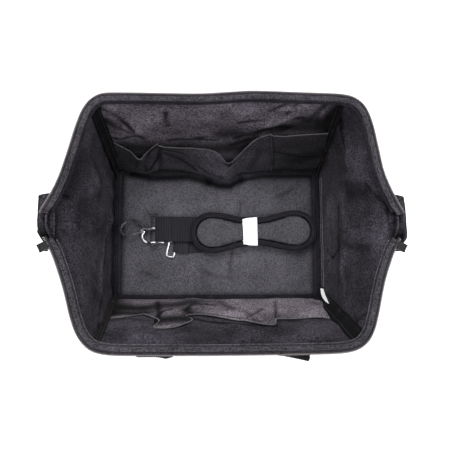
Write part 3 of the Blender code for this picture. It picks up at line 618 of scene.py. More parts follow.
# WALLS AND END PANELS
# Black polyester cut in four panels, sewn up the corners and into the hem of the mouth.
# The ends are let out in a soft flare above a fold, so that the mouth can shut.
wall_cloth = woven_cloth(
    "wall_polyester", (0.0115, 0.0105, 0.0138), (0.080, 0.072, 0.090), 0.0008, 0.65, 0.40
)
# The rear wall gets a much lighter copy of the wall cloth: painted light where light falls on it.
rear_wall_painted_light_cloth = woven_cloth(
    "rear_wall_polyester_painted_light", (0.034, 0.0305, 0.0385), (0.215, 0.190, 0.230), 0.0008, 0.7, 0.35
)
wall_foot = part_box("front_wall")[0].z + 0.0008
wall_head = mouth_z - 0.0022
fold_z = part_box("left_end_panel")[1].z
fold_share = (fold_z - wall_foot) / (wall_head - wall_foot)
base_line = rounded_outline(0.4150, 0.2600, 0.0125, wall_foot)
reach = zip_reach + hem_width / 2
ring = drawn_in(mouth["rear"][::-1], reach) + drawn_in(mouth["front"], reach)
ring = [Vector((p.x, p.y, wall_head)) for p in ring]
seam_heads = {
    "rear_right": (0.172, 0.179),
    "rear_left": (-0.192, 0.166),
    "front_left": (-0.180, -0.170),
    "front_right": (0.190, -0.168),
}
seam_at = {}
for name, (x, y) in seam_heads.items():
    seam_at[name] = min(range(len(ring)), key=lambda i: (ring[i].x - x) ** 2 + (ring[i].y - y) ** 2)


def between(path, first, last):
    if last >= first:
        return path[first : last + 1]
    return path[first:] + path[: last + 1]


# Each fold is a line from one point to another, with its width and how far it stands into the bag.
wall_folds = [
    ((-0.186, 0.167, 0.262), (-0.128, 0.145, 0.141), 0.0070, 0.0075),
    ((-0.182, 0.161, 0.205), (-0.135, 0.150, 0.160), 0.0050, 0.0050),
    ((-0.196, 0.147, 0.165), (-0.145, 0.150, 0.155), 0.0045, 0.0050),
    ((-0.098, 0.170, 0.240), (-0.097, 0.160, 0.180), 0.0070, 0.0045),
    ((0.010, 0.158, 0.160), (0.120, 0.170, 0.225), 0.0080, 0.0080),
    ((0.050, 0.158, 0.150), (0.130, 0.165, 0.195), 0.0060, 0.0060),
    ((0.080, 0.176, 0.235), (0.120, 0.176, 0.250), 0.0050, 0.0045),
    ((0.145, 0.176, 0.250), (0.160, 0.165, 0.190), 0.0060, 0.0050),
    ((-0.165, -0.160, 0.185), (-0.090, -0.172, 0.240), 0.0070, 0.0045),
    ((-0.115, -0.166, 0.225), (-0.060, -0.164, 0.190), 0.0060, 0.0040),
    ((-0.020, -0.172, 0.238), (0.110, -0.172, 0.222), 0.0080, 0.0030),
    ((0.020, -0.160, 0.180), (0.120, -0.172, 0.232), 0.0070, 0.0035),
    ((0.165, -0.155, 0.190), (0.196, -0.158, 0.245), 0.0045, 0.0045),
    ((-0.207, 0.098, 0.102), (-0.206, 0.050, 0.036), 0.0070, 0.0075),
    ((-0.206, 0.050, 0.036), (-0.207, -0.007, 0.084), 0.0070, 0.0060),
    ((-0.207, -0.007, 0.084), (-0.204, -0.110, 0.130), 0.0080, 0.0065),
    ((-0.238, -0.018, 0.235), (-0.207, 0.004, 0.125), 0.0090, 0.0060),
    ((-0.212, 0.105, 0.190), (-0.208, 0.060, 0.140), 0.0080, 0.0060),
    ((-0.230, 0.030, 0.245), (-0.215, 0.060, 0.170), 0.0090, 0.0040),
    ((-0.224, -0.060, 0.240), (-0.208, -0.110, 0.150), 0.0090, 0.0055),
    ((0.194, 0.155, 0.200), (0.210, 0.092, 0.185), 0.0080, 0.0085),
    ((0.222, 0.070, 0.240), (0.210, 0.085, 0.130), 0.0080, 0.0060),
    ((0.208, 0.055, 0.140), (0.207, -0.120, 0.150), 0.0070, 0.0060),
    ((0.232, 0.020, 0.245), (0.214, 0.000, 0.180), 0.0090, 0.0050),
    ((0.226, -0.030, 0.240), (0.212, -0.025, 0.150), 0.0080, 0.0055),
    ((0.222, -0.070, 0.240), (0.212, -0.100, 0.180), 0.0080, 0.0045),
    ((0.207, -0.040, 0.095), (0.206, -0.060, 0.045), 0.0090, 0.0050),
    ((0.204, -0.136, 0.250), (0.200, -0.140, 0.190), 0.0035, 0.0045),
]


def wall_point(point, inward):
    """A point of the cloth, moved by the folds and by fine slackness."""
    share = (point.z - wall_foot) / (wall_head - wall_foot)
    hold = min(1, share / 0.20) * min(1, (1 - share) / 0.10)
    amount = 0.0042 * noise.noise(Vector((point.x * 13, point.y * 13, point.z * 7)))
    amount += 0.0022 * noise.noise(
        Vector((point.x * 34, point.y * 34, point.z * 22)) + Vector((5, 0, 0))
    )
    amount += 0.0030 * (
        0.5 - 2 * abs(noise.noise(Vector((point.x * 21, point.y * 21, point.z * 15 + 4))))
    )
    for start, end, width, height in wall_folds:
        a, b = Vector(start), Vector(end)
        t = max(0.0, min(1.0, (point - a).dot(b - a) / (b - a).length_squared))
        d = (point - a.lerp(b, t)).length
        if d < 4 * width:
            amount += height * math.exp(-((d / width) ** 2)) * math.sin(math.pi * (0.12 + 0.76 * t))
    return point + inward * max(-0.0004, amount * hold)


# Painted shade on the walls: along sharp creases, in the deep places under a fold that no light reaches,
# and over broad stretches that lie in shade: points, width, darkness.
painted_shade_lines = {
    "rear": [
        ([(-0.190, 0.140, 0.110), (0.190, 0.140, 0.110)], 0.0300, 0.80),
        ([(0.000, 0.156, 0.165), (0.060, 0.160, 0.178), (0.170, 0.160, 0.185)], 0.0170, 0.72),
        ([(0.130, 0.165, 0.205), (0.178, 0.168, 0.215)], 0.0170, 0.70),
        (
            [
                (-0.187, 0.168, 0.258),
                (-0.165, 0.166, 0.229),
                (-0.140, 0.153, 0.160),
                (-0.128, 0.142, 0.138),
            ],
            0.0042,
            0.90,
        ),
        ([(-0.184, 0.161, 0.216), (-0.169, 0.160, 0.190)], 0.0065, 0.75),
        ([(-0.169, 0.160, 0.189), (-0.137, 0.152, 0.158), (-0.122, 0.145, 0.146)], 0.0031, 0.85),
        ([(-0.197, 0.147, 0.166), (-0.173, 0.153, 0.145), (-0.145, 0.152, 0.158)], 0.0031, 0.90),
        ([(-0.089, 0.168, 0.233), (-0.094, 0.163, 0.204), (-0.088, 0.162, 0.196)], 0.0048, 0.80),
        ([(-0.092, 0.152, 0.144), (-0.055, 0.155, 0.143), (-0.010, 0.154, 0.143)], 0.0034, 0.90),
        ([(-0.071, 0.145, 0.150), (-0.037, 0.155, 0.150), (-0.011, 0.150, 0.156)], 0.0031, 0.85),
        ([(0.024, 0.167, 0.198), (0.061, 0.172, 0.203), (0.125, 0.171, 0.215)], 0.0044, 0.85),
        (
            [(0.026, 0.155, 0.150), (0.055, 0.160, 0.170), (0.080, 0.164, 0.188), (0.112, 0.162, 0.187)],
            0.0075,
            0.82,
        ),
        ([(0.020, 0.150, 0.125), (0.040, 0.155, 0.135), (0.060, 0.158, 0.155)], 0.0080, 0.85),
        ([(0.070, 0.174, 0.234), (0.090, 0.177, 0.253)], 0.0032, 0.75),
        ([(0.098, 0.173, 0.228), (0.106, 0.178, 0.253)], 0.0044, 0.70),
        ([(0.136, 0.173, 0.206), (0.150, 0.178, 0.254)], 0.0055, 0.75),
        ([(0.160, 0.167, 0.195), (0.168, 0.177, 0.251)], 0.0095, 0.88),
        ([(0.176, 0.162, 0.178), (0.181, 0.169, 0.225)], 0.0090, 0.90),
    ],
    "left": [
        (
            [
                (-0.207, 0.100, 0.095),
                (-0.206, 0.079, 0.031),
                (-0.207, 0.051, 0.023),
                (-0.205, 0.015, 0.066),
            ],
            0.0033,
            0.92,
        ),
        ([(-0.205, 0.015, 0.066), (-0.208, -0.007, 0.072), (-0.209, -0.057, 0.085)], 0.0033, 0.92),
        ([(-0.209, -0.057, 0.085), (-0.203, -0.121, 0.125), (-0.186, -0.158, 0.207)], 0.0034, 0.92),
        ([(-0.239, -0.016, 0.232), (-0.231, -0.010, 0.201), (-0.226, -0.003, 0.192)], 0.0065, 0.55),
        ([(-0.226, -0.003, 0.192), (-0.205, 0.002, 0.120)], 0.0035, 0.60),
        ([(-0.231, 0.038, 0.262), (-0.229, 0.036, 0.239)], 0.0028, 0.80),
        ([(-0.244, 0.020, 0.264), (-0.236, 0.000, 0.250), (-0.241, -0.026, 0.264)], 0.0080, 0.80),
        ([(-0.210, 0.101, 0.169), (-0.211, 0.083, 0.132), (-0.206, 0.055, 0.146)], 0.0120, 0.45),
    ],
    "right": [
        (
            [(0.184, 0.168, 0.222), (0.192, 0.155, 0.196), (0.203, 0.140, 0.179), (0.210, 0.097, 0.191)],
            0.0031,
            0.92,
        ),
        ([(0.209, 0.060, 0.172), (0.218, 0.050, 0.227)], 0.0150, 0.62),
        ([(0.218, 0.060, 0.233), (0.235, 0.030, 0.254), (0.243, 0.020, 0.266)], 0.0032, 0.80),
        ([(0.240, 0.018, 0.256), (0.246, 0.014, 0.264)], 0.0060, 0.85),
        ([(0.246, 0.012, 0.256), (0.243, -0.020, 0.264)], 0.0075, 0.85),
        ([(0.208, 0.038, 0.127), (0.210, -0.001, 0.123), (0.208, -0.022, 0.123)], 0.0034, 0.70),
        (
            [
                (0.208, -0.022, 0.123),
                (0.206, -0.054, 0.129),
                (0.208, -0.093, 0.139),
                (0.205, -0.118, 0.151),
            ],
            0.0031,
            0.90,
        ),
        ([(0.206, -0.034, 0.063), (0.207, -0.050, 0.091), (0.207, -0.033, 0.125)], 0.0029, 0.80),
        ([(0.212, -0.025, 0.144), (0.224, -0.036, 0.223)], 0.0080, 0.45),
        ([(0.202, -0.139, 0.210), (0.197, -0.151, 0.235)], 0.0033, 0.75),
        ([(0.205, -0.134, 0.252), (0.199, -0.148, 0.223)], 0.0033, 0.75),
    ],
    "front": [
        ([(-0.052, -0.153, 0.136), (-0.028, -0.155, 0.150), (0.004, -0.158, 0.158)], 0.0050, 0.92),
        ([(0.004, -0.158, 0.158), (0.036, -0.160, 0.167), (0.082, -0.161, 0.173)], 0.0044, 0.92),
        ([(-0.195, -0.150, 0.150), (-0.150, -0.152, 0.140), (-0.120, -0.155, 0.145)], 0.0040, 0.45),
        ([(0.100, -0.158, 0.155), (0.150, -0.158, 0.158), (0.185, -0.155, 0.150)], 0.0030, 0.60),
    ],
}


def panel_points(first, last, base_first, base_last, columns, lines, flared):
    """Rows of points from the floor seam up to the hem."""
    head = even(between(ring, seam_at[first], seam_at[last]), columns)
    foot = even(between(base_line, base_first, base_last), columns)
    rows = []
    for r in range(lines + 1):
        share = r / lines
        row = []
        for c in range(columns + 1):
            a, b = foot[c], head[c]
            edge = min(1, min(c, columns - c) / (0.22 * columns))
            edge = edge * edge * (3 - 2 * edge)
            out = max(0, (share - fold_share) / (1 - fold_share)) ** 1.25 if flared else share
            out = share + (out - share) * edge
            point = Vector(
                (a.x + (b.x - a.x) * out, a.y + (b.y - a.y) * share, a.z + (b.z - a.z) * share)
            )
            inward = Vector((0, -math.copysign(1, point.y), 0))
            if flared:
                inward = Vector((-math.copysign(1, point.x), 0, 0))
            seam = min(1, 20 * min(c, columns - c) / columns)
            row.append(point.lerp(wall_point(point, inward), seam))
        rows.append(row)
    return rows


def sewn_between(piece):
    """Cloth that stands on the base, with its placement taken into its mesh."""
    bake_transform(piece)
    return piece


def outside(piece, outward):
    """The outer face of a wall is plain, and shows none of the shading of the inner one."""
    piece.data.materials.append(outer_cloth)
    values = piece.data.attributes["crease"].data
    outer, inner = set(), set()
    for face in piece.data.polygons:
        if face.normal.dot(Vector(outward)) > 0.3:
            face.material_index = 1
            outer.update(face.vertices)
        else:
            inner.update(face.vertices)
    for index in outer - inner:
        values[index].value = 0.0


wide, deep, tall = 144, 100, 84
sheet_thickness = 0.0016
face_out = {"front": -1, "rear": 1}
side_out = {"left": -1, "right": 1}
panels = {
    "rear": panel_points("rear_right", "rear_left", 3, 10, wide, tall, False),
    "left": panel_points("rear_left", "front_left", 10, 17, deep, tall, True),
    "front": panel_points("front_left", "front_right", 17, 24, wide, tall, False),
    "right": panel_points("front_right", "rear_right", 24, 3, deep, tall, True),
}
for face in ("front", "rear"):
    wall = thicken(net(face + "_wall_cloth", panels[face]), sheet_thickness, 0)
    paint_shade_marks(give(wall, wall_cloth if face == "front" else rear_wall_painted_light_cloth), painted_shade_lines[face])
    outside(wall, (0, face_out[face], 0))
    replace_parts(sewn_between(wall), face + "_wall")
fold_row = round(tall * fold_share)
for side in ("left", "right"):
    rows = panels[side]
    lower = give(thicken(net(side + "_end_cloth", rows[: fold_row + 1]), sheet_thickness, 0), wall_cloth)
    paint_shade_marks(lower, painted_shade_lines[side])
    outside(lower, (side_out[side], 0, 0))
    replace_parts(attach(lower, "bag_body"), side + "_end_panel")
    middle = min(range(deep + 1), key=lambda c: abs(rows[-1][c].y))
    first, last = ("rear", "front") if side == "left" else ("front", "rear")
    for face, low, high in ((first, 0, middle), (last, middle, deep)):
        part = [row[low : high + 1] for row in rows[fold_row:]]
        gusset = give(
            thicken(net(side + "_" + face + "_gusset_cloth", part), sheet_thickness, 0), wall_cloth
        )
        paint_shade_marks(gusset, painted_shade_lines[side])
        outside(gusset, (side_out[side], 0, 0))
        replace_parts(sewn_between(gusset), side + "_end_gusset")

# END PIPING
# The foot of each end panel is turned under and sewn twice, which leaves two ridges.
# They run beside the floor binding, between the corner seams.
# The right end's ridges are pale, a painted highlight where light catches them; the left end's are as
# dark as the binding tape, painted shade.
foot_ridge_painted_highlight = woven_cloth("foot_edge_polyester_painted_highlight", (0.050, 0.048, 0.054), (0.170, 0.160, 0.176), 0.0008, 0.6)
for side, sign in side_out.items():
    for number, (x, z, thick) in enumerate(((0.2050, 0.0195, 0.0016), (0.2046, 0.0330, 0.0018))):
        line = []
        for k in range(41):
            y = 0.112 - 0.218 * k / 40
            wave = 0.0005 * noise.noise(Vector((y * 40, z * 90, sign)))
            line.append(Vector((sign * (x + wave), y, z + 3 * wave)))
        ridge = tube(side + "_end_ridge_" + str(number), line, lambda i: oval(thick, thick * 1.6, 8))
        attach(give(ridge, foot_ridge_painted_highlight if side == "right" else binding_tape), "bag_body")

# CORNER TAPES
# Black tape bound over the four upright seams, folded double and sewn, so it stands into the bag.
# The front right one is thick and short, with a crumpled foot.
# The corner tapes are a darker copy of the binding tape, partly their own black and partly painted shade
# in the corners.
seam_tape_and_shade = woven_cloth("seam_tape_and_shade", (0.0018, 0.0017, 0.0022), (0.0090, 0.0085, 0.0105), 0.0006, 0.6)
# The rear left tape is widened over the dark of its corner, partly tape and partly painted shade.
tape_widths = {"rear_right": 0.0125, "rear_left": 0.0190, "front_left": 0.0095, "front_right": 0.0250}
for name, index in (("rear_right", 3), ("rear_left", 10), ("front_left", 17), ("front_right", 24)):
    face, side = name.split("_")
    rows = panels[face]
    column = -1 if name in ("rear_left", "front_right") else 0
    seam = [row[column].copy() for row in rows]
    path = []
    for i, point in enumerate(stepped_path(seam[1:-1:8], 0.004)):
        inward = Vector((-math.copysign(1, point.x), -math.copysign(1, point.y), 0)).normalized()
        wobble = 0.0012 * noise.noise(point * 40)
        off = (0.0042 if name == "rear_right" else 0.0030) + wobble
        path.append(point + inward * off + Vector((-inward.y, inward.x, 0)) * wobble)
    width = tape_widths[name]
    crumple = [1 + 0.45 * abs(noise.noise(p * 75)) * math.exp(-p.z / 0.05) for p in path]
    bend = [0.95 * max(0, 1 - p.z / 0.25) for p in path]
    inward = Vector((-math.copysign(1, path[0].x), -math.copysign(1, path[0].y), 0)).normalized()
    tape = tube(
        name + "_tape",
        path,
        lambda i: [
            (a, b + bend[i] * abs(a))
            for a, b in oval(width * crumple[i], 0.0030 * crumple[i], 16, 0.6)
        ],
        hold=inward,
    )
    give(tape, seam_tape_and_shade)
    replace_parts(sewn_between(tape), name + "_corner_tape")
    for number, across in enumerate((-0.27, 0.27)):
        offset = Vector((-inward.y, inward.x, 0)) * (across * width)
        row = [p + offset + inward * (0.0013 + k * abs(across) * width) for p, k in zip(path, bend)]
        sewn_between(
            stitches(name + "_tape_stitches_" + str(number), row, 0.0036, 0.0026, 0.00028, up=inward),
        )

# HEMS AND WIRES
# Each hem is a tight tube of the wall cloth round a steel wire, with two rows of stitches.
# Past the ends of the wire the hem goes on soft and flat to the tip of the mouth.
def cast_metal(name, base, worn, roughness, metallic=1.0):
    made, body = shaded(name, roughness, 0.5, metallic=metallic)
    tree = made.node_tree
    place = add_node(made, "TexCoord")
    cloud = (placed(made, place, "TexNoise", Scale=160.0, Detail=5.0, Roughness=0.65), "Fac")
    link_nodes(tree, ramp(made, cloud, base, worn, 0.42, 0.66), "Color", body, "Base Color")
    spread = span(made, cloud, roughness * 0.75, min(1.0, roughness * 1.5))
    link_nodes(tree, spread, "Result", body, "Roughness")
    grain = placed(made, place, "TexNoise", Scale=900.0, Detail=2.0)
    relief(made, (grain, "Fac"), 0.12, 0.0002, body)
    return made


wire_steel = cast_metal("wire_steel", (0.16, 0.16, 0.17), (0.30, 0.30, 0.31), 0.35)
# The hem cloth is a darker copy of the wall cloth: painted shade on the hem rolls and on the zip end
# tabs that share it.
hem_cloth_painted_shade = woven_cloth(
    "hem_polyester_painted_shade", (0.0105, 0.0098, 0.0120), (0.060, 0.056, 0.066), 0.0008, 0.65, 0.2
)
hem_foot_painted_highlight = woven_cloth(
    "hem_edge_polyester_painted_highlight", (0.022, 0.021, 0.024), (0.095, 0.090, 0.102), 0.0008, 0.6, 0.2
)
trim = {"front": -0.021, "rear": 0.009}


def past_tip(path, face):
    """The stretch of a path along the mouth that lies clear of the end tabs."""
    if face == "front":
        return [p for p in path if p.y < trim[face]]
    return [p for p in path if p.y > trim[face]]


for face in ("front", "rear"):
    path = past_tip(drawn_in(mouth[face], zip_reach + hem_width / 2), face)
    total = len(path) - 1
    thickness, width = [], []
    for i, point in enumerate(path):
        reach = min(i, total - i) * 0.005
        soft = max(0, min(1, (reach - 0.02) / 0.05))
        thickness.append((0.0056 + 0.0044 * soft) * (1 + 0.06 * noise.noise(point * 60)))
        width.append(hem_width * (0.55 + 0.45 * min(1, reach / 0.02)))
    hem = tube(face + "_hem_cloth_painted_shade", path, lambda i: oval(width[i], thickness[i], 16, 0.85))
    give(hem, hem_cloth_painted_shade)
    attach(hem, face + "_frame")
    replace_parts(hem, face + "_hem", face + "_left_hem_end", face + "_right_hem_end")
    stiff = [p for p in path if abs(p.y) > 0.075]
    wire = give(tube(face + "_wire", stiff, lambda i: oval(0.0038, 0.0038, 8)), wire_steel)
    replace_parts(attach(wire, face + "_frame"), face + "_frame_wire")
    for number, inset in enumerate((0.0044, hem_width - 0.0012)):
        line = past_tip(drawn_in(mouth[face], zip_reach + inset), face)
        lift = 0.0034 if number == 0 else 0.0026
        row = [p + Vector((0, 0, lift + (t - 0.0062) * 0.35)) for p, t in zip(line, thickness)]
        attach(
            stitches(face + "_hem_stitches_" + str(number), row[2:-2], 0.0038, 0.0028, 0.00032),
            face + "_frame",
        )
    # The second runs along the hem's foot at the wall: pale at the front, a painted highlight where
    # light catches the front hem; thicker and black at the rear, partly a dark seam and partly painted
    # shade under the rear hem.
    # Two thin cords along each hem. The first, black, lies in the groove near the hem's outer side:
    # painted shade in the groove.
    groove = past_tip(drawn_in(mouth[face], zip_reach + 0.0028), face)
    grooves = [[p + Vector((0, 0, 0.0033 + (t - 0.0062) * 0.4)) for p, t in zip(groove, thickness)]]
    grooves.append(past_tip(drawn_in(mouth[face], zip_reach + hem_width + 0.0006, -0.0030), face))
    for number, line in enumerate(grooves):
        size = (0.0010, 0.0010) if number == 0 else (0.0022 if face == "front" else 0.0034, 0.0026)
        welt = tube(face + "_hem_seam_painted_light_" + str(number), line[1:-1], lambda i: oval(size[0], size[1], 8))
        give(welt, hem_foot_painted_highlight if number == 1 and face == "front" else binding_tape)
        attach(welt, face + "_frame")

# ZIP
# Half a coil zip runs along the outer edge of each hem, its tape sewn under the hem.
# The teeth are pale and stand outwards, because the mouth is open.
zip_tape = woven_cloth("zip_tape", (0.012, 0.011, 0.013), (0.050, 0.045, 0.050), 0.0006, 0.5)
tooth_plastic, body = shaded("zip_tooth_plastic", 0.42, 0.45, sheen=0.05)
place = add_node(tooth_plastic, "TexCoord")
wear = placed(tooth_plastic, place, "TexNoise", Scale=260.0)
tones = ramp(tooth_plastic, (wear, "Fac"), (0.080, 0.072, 0.074), (0.150, 0.134, 0.136))
link_nodes(tooth_plastic.node_tree, tones, "Color", body, "Base Color")
tooth_pitch = 0.0026
for face in ("front", "rear"):
    line = past_tip(drawn_in(mouth[face], 0.0030), face)
    tape = tube(face + "_zip_tape", line, lambda i: oval(0.0044, 0.0016, 8, 0.6))
    give(tape, zip_tape)
    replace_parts(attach(tape, face + "_frame"), face + "_zip_half")
    points = stepped_path(past_tip(drawn_in(mouth[face], 0.0008), face), tooth_pitch)
    verts, faces = [], []
    for a, b in zip(points, points[1:]):
        along = (b - a).normalized()
        out = Vector((along.y, -along.x, 0))
        if out.dot(a) < 0:
            out = -out
        faces += bar_faces(len(verts), 3)
        for reach, half, tall in (
            (-0.0016, 0.00060, 0.0010), (0.0004, 0.00075, 0.0013), (0.0009, 0.00050, 0.0008)
        ):
            for s, t in ((1, 1), (-1, 1), (-1, -1), (1, -1)):
                verts.append(a + out * reach + along * (s * half) + Vector((0, 0, t * tall)))
    teeth = give(lay_mesh(face + "_zip_teeth", verts, faces), tooth_plastic)
    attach(teeth, face + "_frame")

# ZIP END TABS
# Where both zip halves end, the tip of the mouth is closed by folded, sewn cloth.
# Its inner side sinks into a fold between the two hems, with painted shade in the fold and along the
# tip's creases.
def soften(values, steps):
    """A smooth row through the given points, with the same number of steps in every gap."""
    made = []
    count = len(values)
    for i in range(count - 1):
        a, b, c, d = (values[min(max(i + k, 0), count - 1)] for k in (-1, 0, 1, 2))
        for k in range(steps):
            t = k / steps
            made.append(
                0.5
                * (
                    2 * b
                    + (c - a) * t
                    + (2 * a - 5 * b + 4 * c - d) * t**2
                    + (3 * b - a - 3 * c + d) * t**3
                )
            )
    made.append(values[-1].copy())
    return made


def patch(lines, across, up):
    """Rows of cloth through lines of points that all have the same count."""
    wide = [soften([Vector(p) for p in line], across) for line in lines]
    columns = [soften([line[c] for line in wide], up) for c in range(len(wide[0]))]
    return [[column[r] for column in columns] for r in range(len(columns[0]))]


tip_outer = {
    "left": [(0.0370, 0.2465), (0.0345, 0.2590), (0.0300, 0.2603), (0.0150, 0.2606), (0.0000, 0.2608)]
    + [
        (-0.0120, 0.2600),
        (-0.0160, 0.2604),
        (-0.0215, 0.2570),
        (-0.0270, 0.2535),
        (-0.0325, 0.2490),
        (-0.0370, 0.2430),
    ],
    "right": [(0.0385, 0.2450), (0.0360, 0.2570), (0.0310, 0.2585), (0.0190, 0.2600), (0.0050, 0.2605)]
    + [
        (-0.0100, 0.2610),
        (-0.0200, 0.2612),
        (-0.0260, 0.2590),
        (-0.0310, 0.2545),
        (-0.0350, 0.2500),
        (-0.0390, 0.2450),
    ],
}
tip_section = [
    (0.0000, -0.0090), (-0.0002, -0.0050), (0.0012, -0.0008), (0.0040, 0.0004), (0.0075, -0.0008)
]
tip_section += [(0.0105, -0.0030), (0.0140, -0.0058), (0.0175, -0.0078), (0.0215, -0.0096)]
for side, sign in side_out.items():
    sections = []
    for y, x in tip_outer[side]:
        close = min(1, max(0.25, (0.2610 - 0.2330 - abs(0.2610 - x)) / 0.028))
        sections.append(
            [Vector((sign * (x - across * close), y, mouth_z + rise)) for across, rise in tip_section]
        )
    rows = patch([[section[k] for section in sections] for k in range(len(tip_section))], 5, 3)
    for row in rows:
        for point in row:
            point.z += 0.0011 * noise.noise(Vector((point.x * 90, point.y * 120, sign)))
            deep = math.exp(-(((abs(point.x) - 0.2475) / 0.008) ** 2))
            deep *= math.exp(-((point.y / 0.026) ** 4))
            point.z += 0.0032 * deep * noise.noise(Vector((point.x * 210, point.y * 170, 2 * sign)))
            point.z -= 0.0022 * deep
    split = min(range(len(rows[0])), key=lambda c: abs(rows[0][c].y))
    deep_x, half = (0.2475, 0.0070) if side == "left" else (0.2460, 0.0090)
    low, high = mouth_z - 0.005, mouth_z - 0.003
    # Painted shade in the deep fold between the hems and along the creases of the tip.
    shade_marks = [
        (
            [(sign * (deep_x - 0.004), 0.0200, low), (sign * (deep_x + 0.005), 0.0120, high)],
            0.0035,
            0.90,
        ),
        (
            [(sign * (deep_x + 0.007), 0.0050, high), (sign * (deep_x + 0.002), -0.0020, high)],
            0.0022,
            0.80,
        ),
        (
            [(sign * (deep_x - 0.008), -0.0240, low), (sign * (deep_x + 0.006), -0.0220, high)],
            0.0045,
            0.92,
        ),
        ([(sign * deep_x, 0.0170, high), (sign * (deep_x - 0.002), -0.0230, high)], half, 0.95),
        ([(sign * 0.2590, 0.0345, mouth_z), (sign * 0.2615, 0.0000, high)], 0.0030, 0.60),
        ([(sign * 0.2615, 0.0000, high), (sign * 0.2500, -0.0320, mouth_z)], 0.0035, 0.70),
    ]
    for face, first, last in (("rear", 0, split), ("front", split, len(rows[0]) - 1)):
        half_rows = [row[first : last + 1] for row in rows]
        tab = thicken(net(side + "_" + face + "_zip_end_cover", half_rows), sheet_thickness, 0)
        paint_shade_marks(give(tab, hem_cloth_painted_shade), shade_marks)
        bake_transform(tab)
        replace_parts(tab, side + "_zip_end_tab")
    row = [Vector((sign * (x - 0.0045), y, mouth_z + 0.0012)) for y, x in tip_outer[side][2:5]]
    row = stitches(side + "_zip_end_stitches", row, 0.0034, 0.0025, 0.00028)
    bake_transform(row)

# POCKETS
# One crumpled pocket of thin lining lies against each long wall, sewn at its foot and its ends.
# The free edge is bound, and a stitched line divides each pocket near the right.
pocket_cloth = woven_cloth(
    "pocket_lining", (0.014, 0.0130, 0.0165), (0.060, 0.055, 0.067), 0.0008, 0.6, 0.35
)
# The front pocket gets a much lighter copy of the same lining: painted light where light falls on it.
front_pocket_painted_light = woven_cloth(
    "front_pocket_lining_painted_light", (0.050, 0.0440, 0.0530), (0.340, 0.300, 0.345), 0.0008, 0.8, 0.40
)
# The bound free edge is paler than the lining: a painted highlight along the fold that catches the
# light.
pocket_edge_painted_highlight, body = shaded("pocket_edge_tape_painted_highlight", 0.7, 0.3, sheen=0.4)
body.inputs["Base Color"].default_value = (0.048, 0.045, 0.052, 1)


# Every column runs from the foot over the belly to the free edge.
rear_pocket_columns = [
    [(-0.203, 0.128, 0.016), (-0.201, 0.133, 0.050), (-0.194, 0.143, 0.100), (-0.188, 0.149, 0.136)],
    [(-0.178, 0.128, 0.016), (-0.174, 0.123, 0.040), (-0.168, 0.136, 0.080), (-0.163, 0.143, 0.110)],
    [(-0.159, 0.127, 0.016), (-0.156, 0.118, 0.038), (-0.151, 0.125, 0.074), (-0.148, 0.130, 0.096)],
    [(-0.143, 0.127, 0.016), (-0.140, 0.117, 0.036), (-0.135, 0.129, 0.082), (-0.132, 0.141, 0.108)],
    [(-0.122, 0.128, 0.016), (-0.120, 0.124, 0.038), (-0.116, 0.139, 0.084), (-0.111, 0.149, 0.135)],
    [(-0.115, 0.128, 0.016), (-0.113, 0.129, 0.036), (-0.109, 0.137, 0.080), (-0.105, 0.146, 0.128)],
    [(-0.058, 0.128, 0.016), (-0.057, 0.123, 0.036), (-0.056, 0.137, 0.078), (-0.055, 0.146, 0.120)],
    [(-0.008, 0.128, 0.016), (-0.008, 0.105, 0.046), (-0.009, 0.121, 0.080), (-0.010, 0.143, 0.106)],
    [(0.018, 0.128, 0.016), (0.016, 0.104, 0.046), (0.015, 0.116, 0.072), (0.013, 0.127, 0.088)],
    [(0.039, 0.128, 0.016), (0.037, 0.119, 0.038), (0.034, 0.127, 0.076), (0.032, 0.137, 0.100)],
    [(0.072, 0.128, 0.016), (0.070, 0.128, 0.036), (0.061, 0.142, 0.100), (0.054, 0.152, 0.150)],
    [(0.094, 0.128, 0.016), (0.090, 0.131, 0.041), (0.079, 0.145, 0.112), (0.071, 0.155, 0.168)],
    [(0.106, 0.129, 0.016), (0.103, 0.132, 0.048), (0.092, 0.145, 0.117), (0.081, 0.157, 0.172)],
    [(0.112, 0.129, 0.016), (0.101, 0.140, 0.090), (0.094, 0.148, 0.130), (0.087, 0.156, 0.168)],
    [(0.160, 0.129, 0.016), (0.151, 0.138, 0.080), (0.139, 0.148, 0.130), (0.129, 0.156, 0.172)],
    [(0.200, 0.128, 0.016), (0.197, 0.138, 0.079), (0.184, 0.150, 0.140), (0.176, 0.158, 0.180)],
]
